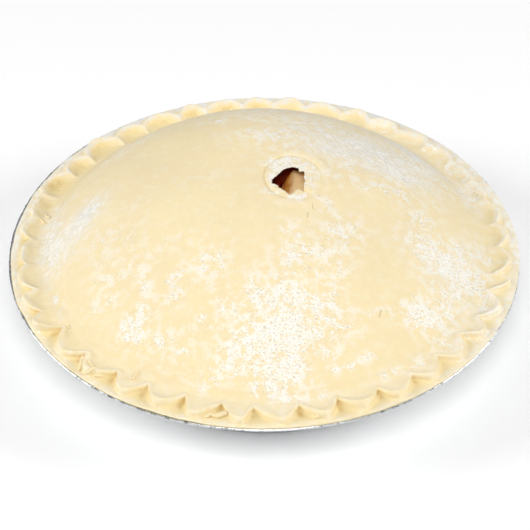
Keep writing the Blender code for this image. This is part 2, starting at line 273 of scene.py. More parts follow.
# Flour rubbed out thin in one direction, in the same terms.
SMEARS = (
    (52, 36, 34, 16, -14, 0.86), (77, 54, 19, 8, -30, 0.86), (66, 20, 18, 8, 0, 0.60),
    (33, 26, 15, 6, 0, 0.80), (18, 42, 18, 11, 0, 0.44), (104, 34, 5, 12, 10, 0.56),
    (100, -14, 8, 12, 0, 0.45), (84, -32, 18, 12, -30, 0.38), (100, -62, 10, 18, -20, 0.44),
    (-86, 0, 9, 14, -34, 0.96), (-95, -12, 11, 11, -15, 0.62), (-104, -4, 6, 28, 4, 0.72),
    (14, 74, 50, 14, 0, 0.52), (64, 72, 24, 8, -38, 0.58),
)

# How steeply the smears' streaks climb towards the middle line.
STREAK_CLIMB = math.radians(41)

# How ragged the patches' outlines are, and how much wider than a patch its thin veil is.
PATCH_WANDER = 1.1 * MM
PATCH_RAGGED = 5 * MM
VEIL_SPREAD = 1.35

# Flour inside the pressed ring: how far it reaches and fades as shares of the ring's size,
# its mean thickness, how much it changes round the ring, and where it lies thickest.
RING_REACH, RING_SOFTNESS = 0.93, 0.04
RING_FLOUR, RING_SWING = 0.69, 0.27
RING_THICKEST = math.radians(125)

# Most bloom on a crest and on the strip behind it.
CREST_BLOOM, STRIP_BLOOM = 0.60, 0.75

# Roughness of the dough, from slack rolls to fine grain: size of its features; height on
# the lid, and what is added to it on the edge and near the vent, within about the reach
# given; octaves and shift of the noise.
TORN_REACH = 14 * MM
ROUGH_LAYERS = (
    (17, 0.26, -0.182, 0, 2, 0), (4.2, 0.07, 0.22, 0.10, 3, 7.3), (1.3, 0.03, 0.07, 0.09, 2, 3.1),
)

# What the pastry's vertices keep for its material; loose_flour reads the first of them too.
PASTRY_STORES = ("flour", "veil", "smear", "bloom", "pinched")

# The imported pieces of apple in the vent. Each gets painted shade left of a line across it,
# so many millimetres right of its middle and softly over a width, and painted deep shade all
# over by the second amount, where it lies deep in the pit. The line is turned a little from
# straight ahead.
SHADED_SIDE = {"apple_piece_1": -1.2, "apple_piece_2": 9.0}
PIT_SHADE = {"apple_piece_1": 0.0, "apple_piece_2": 1.4}
FRUIT_TURN = math.radians(-8)
SHADE_WIDTH = 2.6

# Room that each piece leaves in its packed box for the fibres and dents on its faces.
FRUIT_SPARE = 0.4 * MM
FIBRE_SIZE, DENT_SIZE = 1.2 * MM, 4 * MM

# Scraps of dough stuck to the edge: azimuth in degrees, radius, length and width in
# millimetres and turn from the edge's direction. How far each sways is a share of its
# length; how high its middle lies, half its thickness and its lumps are shares of its width.
SCRAP_SWAY, SCRAP_LIFT, SCRAP_RISE, SCRAP_LUMPS = 0.22, 0.28, 0.38, 0.25
SCRAPS = (
    (226.2, 118.2, 9.0, 2.3, 62), (229.4, 118.6, 7.5, 2.0, 80), (227.8, 116.6, 6.0, 1.8, -28),
    (231.2, 118.0, 4.4, 1.6, 40), (238.2, 109.4, 6.4, 1.5, 86), (260.4, 117.4, 7.6, 2.9, 16),
    (258.2, 118.2, 4.4, 2.0, 30), (169.5, 110.5, 6.0, 1.6, 35), (171.2, 112.0, 5.0, 1.4, 70),
    (99.0, 115.0, 2.4, 1.4, 15), (281.0, 119.5, 3.0, 1.6, -10), (214.0, 109.0, 2.6, 1.2, 20),
)

# Camera: on the pie's middle line, aimed just in front of the middle of the tin's rim.
CAMERA_DISTANCE = 6.2 * 125 * MM
CAMERA_ELEVATION = math.radians(40.198)
CAMERA_PITCH = math.radians(40.978)
CAMERA_SIDE = 0.4 * MM
CAMERA_LENS = 106.98
CAMERA_SENSOR = 36.0

# Soft lights: azimuth and elevation in degrees, seen from the pie.
SOFTBOXES = (
    ("top_light", 270, 55), ("left_light", 180, 26), ("right_light", 0, 26), ("back_light", 90, 36),
)
SOFTBOX_DISTANCE = 3.0
SOFTBOX_SIZE = 1.6
FLOOR_REACH = 3.0


# ---------------------------------------------------------------- helpers


def linear(colour):
    """An sRGB hex colour as the linear red, green and blue that sockets take."""
    parts = [int(colour[i:i + 2], 16) / 255 for i in (1, 3, 5)]
    return tuple(c / 12.92 if c <= 0.04045 else ((c + 0.055) / 1.055) ** 2.4 for c in parts)


def per(size_mm):
    """Scale of a pattern whose features are so many millimetres across."""
    return 1 / (size_mm * MM)


def enabled(sockets, key):
    """The socket in use of that name, or at that place among those in use."""
    if isinstance(key, str):
        key, sockets = 0, [s for s in sockets if s.name == key.replace("_", " ")]
    return [s for s in sockets if s.enabled][key]


def fill(node, *places, **names):
    """Gives a node's inputs their values or links, by place or by name, where an underscore
    stands for a space. A whole node stands for its first output."""
    for key, value in (*enumerate(places), *names.items()):
        socket = enabled(node.inputs, key)
        if isinstance(value, bpy.types.Node):
            value = enabled(value.outputs, 0)
        if isinstance(value, bpy.types.NodeSocket):
            node.id_data.links.new(value, socket)
        elif socket.type == "RGBA" and len(value) == 3:
            socket.default_value = (*value, 1.0)
        else:
            socket.default_value = value


def add(tree, kind, *places, **names):
    """Adds a node: a ShaderNode, unless its kind says another family. Names in small letters
    are its settings, the others are its inputs."""
    made = tree.nodes.new(kind if "Node" in kind else f"ShaderNode{kind}")
    for name in filter(str.islower, list(names)):
        setattr(made, name, names.pop(name))
    fill(made, *places, **names)
    return made


def new_material(name):
    """A material, what adds nodes to it, its Principled shader and the piece's coordinates."""
    made = bpy.data.materials.new(name)
    made.use_nodes = True
    node = partial(add, made.node_tree)
    place = node("TexCoord").outputs["Object"]
    return made, node, made.node_tree.nodes["Principled BSDF"], place


def new_tree(name, **sockets):
    """A Geometry Nodes tree with named inputs, what adds nodes to it, and its inputs."""
    tree = bpy.data.node_groups.new(name, "GeometryNodeTree")
    for label, kind in (("Geometry", "Geometry"), *sockets.items()):
        tree.interface.new_socket(
            label.replace("_", " "), in_out="INPUT", socket_type=f"NodeSocket{kind}"
        )
    tree.interface.new_socket("Geometry", in_out="OUTPUT", socket_type="NodeSocketGeometry")
    node = partial(add, tree)
    return tree, node, node("NodeGroupInput").outputs


def end_tree(node, geometry, surface):
    """Realizes and smooths the geometry, gives it its material and sends it out."""
    real = node("GeometryNodeRealizeInstances", Geometry=geometry)
    smooth = node("GeometryNodeSetShadeSmooth", Geometry=real)
    node("NodeGroupOutput", node("GeometryNodeSetMaterial", Geometry=smooth, Material=surface))


def new_piece(name, mesh):
    made = bpy.data.objects.new(name, mesh)
    bpy.context.scene.collection.objects.link(made)
    return made


def evaluated_mesh(piece):
    """A plain mesh of a piece as its modifiers leave it."""
    graph = bpy.context.evaluated_depsgraph_get()
    return bpy.data.meshes.new_from_object(piece.evaluated_get(graph), depsgraph=graph)


def grow(name, mesh, tree, values):
    """Puts a mesh through a node tree and keeps the result as a plain mesh."""
    made = new_piece(name, mesh)
    modifier = made.modifiers.new("grow", "NODES")
    modifier.node_group = tree
    for item in tree.interface.items_tree:
        if item.in_out == "INPUT" and item.name in values:
            modifier[item.identifier] = values[item.name]
    made.data = evaluated_mesh(made)
    made.modifiers.clear()
    made.data.name = name
    return made


def face_outwards(mesh):
    """Turns the faces of a closed mesh so that they all point out of it."""
    shape = bmesh.new()
    shape.from_mesh(mesh)
    bmesh.ops.recalc_face_normals(shape, faces=shape.faces)
    if shape.calc_volume(signed=True) < 0:
        bmesh.ops.reverse_faces(shape, faces=shape.faces)
    shape.to_mesh(mesh)
    shape.free()


def points_of(mesh):
    """Places and normals of a mesh's vertices, one row each."""
    points, normals = np.empty(len(mesh.vertices) * 3), np.empty(len(mesh.vertices) * 3)
    mesh.vertices.foreach_get("co", points)
    mesh.vertex_normals.foreach_get("vector", normals)
    return points.reshape(-1, 3), normals.reshape(-1, 3)


def move_points(mesh, points):
    mesh.vertices.foreach_set("co", points.ravel())
    mesh.update()


def store(mesh, name, values):
    """Keeps a number for each vertex, which a material or a tree reads by its name."""
    mesh.attributes.new(name, "FLOAT", "POINT").data.foreach_set("value", values)


def place_piece(piece, slot, *nodes):
    """Puts a finished piece on the pie's one body, in place of its CAD nodes if it has any."""
    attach(piece, "root")
    if nodes:
        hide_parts(*nodes)


def polar(azimuth, radius, centre=(0.0, 0.0)):
    """Plan points at an azimuth and distance from a centre, one row each."""
    return np.stack(
        [centre[0] + radius * np.cos(azimuth), centre[1] + radius * np.sin(azimuth)], axis=-1
    )


def away_from(plan, centre):
    """Distance of each plan point from a centre."""
    return np.hypot(*(plan - centre).T)


def ring_angles(count):
    return RING_START + math.tau * np.arange(count) / count


def raised(plan, height):
    """Plan points with a height, which may be one number for them all."""
    return np.column_stack([plan, np.broadcast_to(height, len(plan))])


def roughness(points, size, octaves=3, shift=0.0):
    """Fractal noise from about -1 to 1 at points; features are `size` metres across."""
    return np.array(
        [noise.fractal(Vector(p) / size + Vector((shift,) * 3), 1.0, 2.0, octaves) for p in points]
    )


class Shell:
    """Rings of vertices and the faces between them, gathered into one closed mesh."""

    def __init__(self):
        self.rings, self.faces, self.shares, self.tints, self.count = [], [], [], [], 0

    def ring(self, points, share=0.0, tint=0.0):
        """Adds a ring; share is how much surface roughness it takes later, tint how much
        painted shade it gets."""
        self.rings.append(points)
        self.shares.append(np.broadcast_to(share, len(points)))
        self.tints.append(np.broadcast_to(tint, len(points)))
        self.count += len(points)
        return np.arange(self.count - len(points), self.count)

    def bridge(self, wide, narrow):
        """Joins two rings. The first has as many vertices as the second, or a multiple."""
        step = len(wide) // len(narrow)
        if step == 1:
            loops = (wide, np.roll(wide, -1), np.roll(narrow, -1), narrow)
            self.faces += np.stack(loops, axis=1).tolist()
            return
        middle = step // 2
        for j, start in enumerate(narrow):
            end = narrow[(j + 1) % len(narrow)]
            run = [wide[(j * step + i) % len(wide)] for i in range(step + 1)]
            for i in range(step):
                self.faces.append((run[i], run[i + 1], start if i < middle else end))
            self.faces.append((run[middle], end, start))

    def chain(self, rings):
        for first, second in zip(rings, rings[1:]):
            self.bridge(first, second)

    def cap(self, loop, point):
        hub = self.ring(np.array([point]))[0]
        self.faces += [(a, b, hub) for a, b in zip(loop, np.roll(loop, -1))]

    def mesh(self, name):
        made = bpy.data.meshes.new(name)
        faces = [tuple(int(v) for v in face) for face in self.faces]
        made.from_pydata(np.concatenate(self.rings).tolist(), [], faces)
        face_outwards(made)
        made.shade_smooth()
        return made


def spline(points, steps):
    """Rows on a Catmull-Rom curve through control points, so many for each span."""
    ends = np.concatenate([2 * points[:1] - points[1:2], points, 2 * points[-1:] - points[-2:-1]])
    rows = []
    for i, count in enumerate(steps):
        a, b, c, d = ends[i:i + 4]
        for t in np.arange(count) / count:
            bend = (2 * a - 5 * b + 4 * c - d) * t**2 + (3 * b - a - 3 * c + d) * t**3
            rows.append(0.5 * (2 * b + (c - a) * t + bend))
    return [*rows, points[-1]]


def patches_at(plan, patches, blur=1.0):
    """How thickly flour lies at plan points, from 0 to 1."""
    kept_share = np.ones(len(plan))
    for x, y, length, width, turn, amount in patches:
        away = (plan - np.array((x, y)) * MM) / MM
        c, s = math.cos(math.radians(turn)), math.sin(math.radians(turn))
        along = (away[:, 0] * c + away[:, 1] * s) / (length * blur)
        across = (away[:, 1] * c - away[:, 0] * s) / (width * blur)
        kept_share *= 1 - amount * np.exp(-((along**2 + across**2) ** 1.3))
    return 1 - kept_share


# ---------------------------------------------------------------- shape of the pastry


def lid_height(plan):
    """Height of the lid's outer face: a full dome whose summit leans to the back."""
    offset = plan - CRUST_CENTRE
    far = away_from(plan, CRUST_CENTRE) / DOME_RADIUS
    inside = np.clip(1 - far**2, 0, None)
    lean = offset - SUMMIT * inside[:, None]
    reach = np.minimum(np.hypot(*lean.T) / DOME_RADIUS, 1)
    height = DOME_FOOT + DOME_HEIGHT * (1 - reach**DOME_POWER)
    for azimuth, distance, spread, rise in LUMPS:
        lump = polar(math.radians(azimuth), distance * MM, CRUST_CENTRE)
        away = away_from(plan, lump) / (spread * MM)
        height += inside * rise * MM * np.exp(-(away**2))
    return height


def from_press(plan):
    """Distance from the middle of the pressed ring, 1 on the ring, and direction from it."""
    offset = (plan - PRESS_CENTRE) / PRESS_RADII
    return np.hypot(*offset.T), np.arctan2(offset[:, 1], offset[:, 0])


def press_relief(plan):
    """The groove of the ring pressed round the vent, deepest at its left, and its soft bank."""
    share, turn = from_press(plan)
    away = (share - 1) * PRESS_RADII.mean()
    deep = PRESS_LEAST + (1 - PRESS_LEAST) * np.clip(np.cos(turn - PRESS_DEEPEST), 0, 1)
    groove = -deep * np.exp(-((away / PRESS_WIDTH) ** 2))
    bank = BANK_RISE * np.exp(-(((away - BANK_AWAY) / BANK_WIDTH) ** 2))
    inner = -INSIDE_DROP / (1 + np.exp(away / INSIDE_STEP))
    return PRESS_DEPTH * (groove + bank + inner)


def tear_depth(plan):
    """Depth of the tear beside the vent, 0 away from it."""
    start, end, width, deep = TEAR
    a, b = np.array(start) * MM, np.array(end) * MM
    along = np.clip(((plan - a) @ (b - a)) / ((b - a) @ (b - a)), 0, 1)
    away = away_from(plan, a + along[:, None] * (b - a)) / (0.5 * width * MM)
    return deep * MM * np.exp(-(away**2))


def flute_wave(angles):
    """The edge's zigzag: -1 at an inner apex, which is pointed, and 1 at an outer, round one."""
    away = np.abs(2 * ((angles - RING_START) * FLUTES / math.tau % 1) - 1)
    k = APEX_ROUNDING
    return 1 - 2 * (np.hypot(away, k) - k) / (math.hypot(1, k) - k)


def uneven(angles, seed, spread):
    """Hand-made unevenness: a random value for each apex, eased from one to the next."""
    values = np.random.default_rng(seed).normal(0, spread, 2 * FLUTES)
    values = values.clip(-2 * spread, 2 * spread)
    place = (angles - RING_START) * 2 * FLUTES / math.tau
    low = np.floor(place + 1e-9).astype(int)
    ease = place - low
    ease = ease**2 * (3 - 2 * ease)
    return values[low % (2 * FLUTES)] * (1 - ease) + values[(low + 1) % (2 * FLUTES)] * ease


def flute_strength(azimuth):
    """1 where the flutes are crisp, less where they were pressed soft."""
    crisp = 1.0
    for middle, spread, softness in SOFT_FLUTES:
        away = (np.degrees(azimuth) - middle + 180) % 360 - 180
        crisp = crisp - softness * np.exp(-((away / spread) ** 2))
    return crisp


def at_azimuth(azimuth, table):
    """A value read from a table of azimuths in degrees, changing evenly between them."""
    degrees, values = np.array(table).T
    return np.interp(np.degrees(azimuth), degrees, values, period=360)


def edge_azimuth(angles):
    """Azimuth of the edge's points. The pinches bunch up slightly at the back right."""
    lag = FLUTE_LAG * np.cos((angles - FLUTE_CROWD) / 2) ** 6
    return angles - lag + uneven(angles, 11, math.radians(0.75))


def by_row(*weights):
    """A weight for each control row of the edge, from the crease outwards."""
    return np.array(weights)[:, None]


def edge_rows(angles, depth):
    """Rows of the pinched edge, from the crease outwards and round under the strip."""
    azimuth = edge_azimuth(angles)
    crisp = flute_strength(azimuth) * depth
    share = ((flute_wave(angles) * crisp + 1) / 2) ** at_azimuth(azimuth, LOBE_WIDTH)
    inner, outer = (np.array(cut)[:, None, :] for cut in (INNER_CUT, OUTER_CUT))
    even = by_row(0, 0, 0, 0.2, 0.8, 1, 1, 1, 1, 1, 1, 0, 0) * at_azimuth(azimuth, EVEN_CREST)
    cut = (inner + (outer - inner) * (share + even * (1 - share))[:, :, None]) * MM
    reach, height = cut[:, :, 0], cut[:, :, 1]

    # The ridge strays in and out and up and down; soft flutes stand less high.
    stray = at_azimuth(azimuth, STRAY)
    ridge = by_row(0, 0.2, 0.7, 1, 1, 1, 1, 0.8, 0.3, 0, 0, 0, 0) * stray
    reach += ridge * uneven(angles, 23, 0.55 * MM)
    above = height[1:] - STRIP_RISE
    scale = (SOFT_RISE + (1 - SOFT_RISE) * crisp) * (1 + stray * uneven(angles, 37, 0.14))
    height[1:] = np.where(above > 0, STRIP_RISE + above * scale, height[1:])

    # The trimmed edge of the strip, then the lobes, then the hollows behind them.
    reach[-4:] += by_row(0.4, 0.9, 1, 1) * uneven(angles, 53, 0.2 * MM)
    reach[-4:] += by_row(0.2, 0.9, 1, 1) * at_azimuth(azimuth, EDGE_SHIFT) * MM
    lobe = by_row(0, 0, 0.4, 0.7, 1, 1, 0.9, 0.6, 0.3, 0, 0, 0, 0) * share * MM
    reach += lobe * at_azimuth(azimuth, LOBE_SHIFT)
    height[4:7] += lobe[4:7] * at_azimuth(azimuth, LOBE_LIFT)
    sink = by_row(0.4, 0.9, 0.9) * (0.2 + 0.8 * share) * MM
    deep = at_azimuth(azimuth, HOLLOWS)
    height[1:4] -= sink * np.where(deep < 0, 1.6 * deep, deep)
    height[4] -= 0.3 * MM * np.minimum(deep, 0)
    rows = []
    for row in spline(cut, CUT_STEPS):
        plan = polar(azimuth, row[:, 0], CRUST_CENTRE)
        plan *= np.minimum(1, DOUGH_REACH / away_from(plan, 0))[:, None]
        rows.append(raised(plan, TIN_HEIGHT + row[:, 1]))
    return rows


def flute_shade(angles, count):
    """For each row of the edge, how much painted shade it gets: 1 on walls painted a darker
    yellow for their shade, up to 2 where a fold is deep and painted darker still. At the
    front that is the outer walls and most of all their notches, at the back the hollows on
    the dome's side."""
    notch = (1 - flute_wave(angles)) / 2
    hollowed, walled = (
        at_azimuth(angles, table).clip(0, None) for table in (HOLLOWS, OUTER_WALL_SHADE)
    )
    stations = np.cumsum((0, *CUT_STEPS))
    row = np.arange(count)
    outer = np.interp(row, stations[[4, 5, 7, 8, 9, 10]], (0, 0.8, 1, 0.8, 0.3, 0))
    fold = np.interp(row, stations[[5, 6, 8, 9]], (0, 1, 1, 0))
    inner = np.interp(row, stations[[0, 1, 2, 3, 4, 5]], (0, 0.6, 1.05, 1.15, 0.85, 0))
    return [
        (wall * (0.6 + 0.4 * notch) + deep * notch**3) * walled
        + hollow * np.clip(1.3 - 1.6 * notch, 0, 1) * hollowed * (1 + uneven(angles, 71, 0.2))
        for wall, deep, hollow in zip(outer, fold, inner)
    ]


def vent_edge(angles):
    """Distance from the vent's middle to its torn edge: ragged at the front, clean behind."""
    ragged = np.where(np.sin(angles) < 0.1, RAGGED_FRONT, RAGGED_BACK)
    around = raised(polar(angles, 6.0), 0.0)
    return at_azimuth(angles, VENT_CORNERS) * MM + ragged * roughness(around, 1.0, octaves=4)


def lid_plan(angles, reach):
    """Plan points of the lid: reach is 0 at the vent's torn edge and 1 at the crease."""
    inner = polar(angles, vent_edge(angles), VENT_CENTRE)
    outer = polar(edge_azimuth(angles), DOME_RADIUS, CRUST_CENTRE)
    return inner + (outer - inner) * reach


def on_lid(plan, drop=0.0):
    height = lid_height(plan) + press_relief(plan) - tear_depth(plan)
    return raised(plan, height - drop)


def tin_wall(height):
    """Outer radius of the tin's tapering wall."""
    share = (height - TIN_CORNER) / (TIN_HEIGHT - 2 * TIN_CORNER)
    return TIN_BASE_RADIUS + (TIN_MOUTH_RADIUS - TIN_BASE_RADIUS) * share


def crust_side(height, inset):
    """Radius of the pastry inside the tin's wall, a distance in from the foil's face."""
    return tin_wall(height) - TIN_FOIL - inset


def straight_ring(shell, count, radius, height):
    return shell.ring(raised(polar(ring_angles(count), radius), height))


def cavity(shell, inset, floor):
    """Rings down the inside of the crust, a distance in from the foil, and in to its floor."""
    return [
        straight_ring(shell, HIDDEN_RING, radius, height)
        for radius, height in (
            (crust_side(CAVITY_TOP, inset), CAVITY_TOP),
            (crust_side(CAVITY_FOOT, inset), CAVITY_FOOT),
            (crust_side(CAVITY_FOOT, inset + CAVITY_CORNER), floor),
        )
    ]


def pastry_mesh(flute_depth, unevenness):
    """Base and lid pinched together, with every flute, the torn vent and a rough surface."""
    shell = Shell()
    edge_turn, dome_turn, inner_turn = (
        ring_angles(count) for count in (EDGE_RING, DOME_RING, INNER_RING)
    )
    rows = edge_rows(edge_turn, flute_depth)
    edge = [
        shell.ring(row, 1.0 if i < len(rows) - 3 else 0.2, tint)
        for i, (row, tint) in enumerate(zip(rows, flute_shade(edge_turn, len(rows))))
    ]
    shell.chain(edge)

    # The rings lie closest together at the vent, where the lid is torn and floury.
    dome = [
        shell.ring(on_lid(lid_plan(dome_turn, reach)), 1.0)
        for reach in np.linspace(0.966, 0.50, 50)
    ]
    dome += [
        shell.ring(on_lid(lid_plan(inner_turn, reach)), 1.0)
        for reach in (*np.linspace(0.49, 0.22, 27), *np.linspace(0.215, 0.004, 46))
    ]
    shell.chain([edge[0], *dome])

    # The torn edge, rounded at its upper corner, and the lid's thickness down to its underside.
    torn = lid_plan(inner_turn, 0.0)
    tear = [shell.ring(on_lid(torn, TORN_CORNER), 0.6)]
    lip = polar(inner_turn, vent_edge(inner_turn) + TORN_CORNER, VENT_CENTRE)
    tear.append(shell.ring(on_lid(lip, 0.6 * VENT_LIP), 1.0))
    tear += [
        shell.ring(on_lid(lid_plan(inner_turn, reach), drop), 0.4)
        for reach, drop in ((0.012, VENT_LIP), (0.035, 1.6 * VENT_LIP), (0.07, 3.0 * MM))
    ]
    under = [
        shell.ring(on_lid(lid_plan(ring_angles(HIDDEN_RING), reach), LID_THICKNESS))
        for reach in UNDERSIDE_REACHES
    ]
    floor = TIN_FOIL + GAP + CRUST_THICKNESS
    hollow = cavity(shell, CRUST_THICKNESS, floor)
    shell.chain([dome[-1], *tear, *under, *hollow])
    shell.cap(hollow[-1], (0.0, 0.0, floor))

    # From under the strip, down the outside of the crust next to the foil.
    wall_top, wall_foot = TIN_HEIGHT - TIN_CORNER, TIN_CORNER + TIN_FOIL
    clear = 3 * GAP
    outside = [
        straight_ring(shell, DOME_RING, radius, height)
        for radius, height in (
            (TIN_MOUTH_RADIUS + TIN_CORNER - TIN_FOIL, TIN_HEIGHT + GAP),
            (crust_side(wall_top, clear), wall_top),
            (crust_side(wall_foot, clear), wall_foot + GAP),
            (TIN_BASE_RADIUS - TIN_CORNER - TIN_FOIL - clear, TIN_FOIL + GAP),
        )
    ]
    shell.chain([edge[-1], *outside])
    shell.cap(outside[-1], (0.0, 0.0, TIN_FOIL + GAP))

    mesh = shell.mesh("shortcrust_pastry")
    roughen(mesh, np.concatenate(shell.shares), unevenness)
    dust(mesh)

    # The pressed ring's groove gets painted shade too, the darker yellow of the flutes' walls.
    points, _ = points_of(mesh)
    groove = np.clip(-press_relief(points[:, :2]) / PRESS_DEPTH - 0.3, 0, 0.7)
    store(mesh, "pinched", np.maximum(np.concatenate(shell.tints), groove))
    return mesh


def ramp(values, start, width):
    """0 below a start and 1 from a width above it, even between them."""
    return np.clip((values - start) / width, 0, 1)


def roughen(mesh, shares, unevenness):
    """Moves each vertex along its normal: slack rolls of the dough, dents and fine grain."""
    points, normals = points_of(mesh)
    outside = shares > 0
    seen = points[outside]
    edge = ramp(away_from(seen[:, :2], CRUST_CENTRE), DOME_RADIUS - 4 * MM, 6 * MM)
    near_vent = np.exp(-((away_from(seen[:, :2], PRESS_CENTRE) / TORN_REACH) ** 4))
    move = sum(
        (lid + on_edge * edge + at_vent * near_vent) * MM * roughness(seen, size * MM, octaves, shift)
        for size, lid, on_edge, at_vent, octaves, shift in ROUGH_LAYERS
    )
    points[outside] += normals[outside] * (move * unevenness * shares[outside])[:, None]

    # The summit is flattened softly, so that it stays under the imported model's.
    over = np.clip(points[:, 2] - CAD_HIGH.z + HEADROOM, 0, None)
    room = 0.9 * HEADROOM
    points[:, 2] += room * np.tanh(over / room) - over
    move_points(mesh, points)


def dust(mesh):
    """Stores how thickly flour lies on each vertex, where it was worked in or rubbed thin,
    and the bloom on the crests and on the strip behind them. Some flour lies inside the
    pressed ring, most at its back left."""
    points, _ = points_of(mesh)
    plan = points[:, :2] + PATCH_WANDER * np.column_stack(
        [roughness(points, PATCH_RAGGED, shift=shift) for shift in (1.7, 5.9)]
    )

    # Flour lies above the strip's foot only, and bloom on crests and beyond the pinches.
    above_rim = points[:, 2] - TIN_HEIGHT
    on_top = ramp(above_rim, 0.6 * MM, 0.4 * MM)
    share, turn = from_press(plan)
    ring = (RING_FLOUR + RING_SWING * np.cos(turn - RING_THICKEST)) / (
        1 + np.exp((share - RING_REACH) / RING_SOFTNESS)
    )
    far = away_from(points[:, :2], CRUST_CENTRE)
    crest = ramp(above_rim, 1.9 * MM, 1.1 * MM) * (far > DOME_RADIUS)
    strip = ramp(far, 119.5 * MM, 1.5 * MM)
    azimuth = np.arctan2(points[:, 1], points[:, 0])
    bloom = np.maximum(CREST_BLOOM * crest, STRIP_BLOOM * strip) * at_azimuth(azimuth, EDGE_BLOOM)
    for name, thick in (
        ("flour", np.maximum(patches_at(plan, FLOUR_PATCHES), ring)),
        ("veil", np.maximum(patches_at(plan, FLOUR_PATCHES, VEIL_SPREAD), ring)),
        ("smear", patches_at(plan, SMEARS)),
        ("bloom", bloom),
    ):
        store(mesh, name, thick * on_top)


# ---------------------------------------------------------------- materials


def hair_cracks(node, place):
    """Shader value that is 1 in the hair cracks and falls to 0 at their ragged edges."""
    ragged = node("TexNoise", Vector=place, Scale=per(0.9), Detail=3.0)
    ragged = node("VectorMath", ragged.outputs["Color"], (0.5, 0.5, 0.5), operation="SUBTRACT")
    ragged = node("VectorMath", ragged, Scale=0.9 * MM, operation="SCALE")
    spot = node("VectorMath", place, ragged, operation="ADD")
    spot = node("VectorMath", spot, (1.0, 1.0, 0.0), operation="MULTIPLY")
    total = None
    for start, end, width in HAIR_CRACKS:
        a, b = Vector((*start, 0)) * MM, Vector((*end, 0)) * MM
        from_start = node("VectorMath", spot, a, operation="SUBTRACT")
        way = (b - a) / (b - a).length_squared
        share = node("VectorMath", from_start, way, operation="DOT_PRODUCT")
        share = node("Math", share.outputs["Value"], 0.0, operation="ADD", use_clamp=True)
        nearest = node("VectorMath", b - a, Scale=share, operation="SCALE")
        away = node("VectorMath", from_start, nearest, operation="DISTANCE")
        mark = node(
            "MapRange", Value=away.outputs["Value"], From_Min=width * MM, From_Max=0.4 * width * MM
        )
        total = node("Math", total, mark, operation="MAXIMUM") if total else mark
    return total


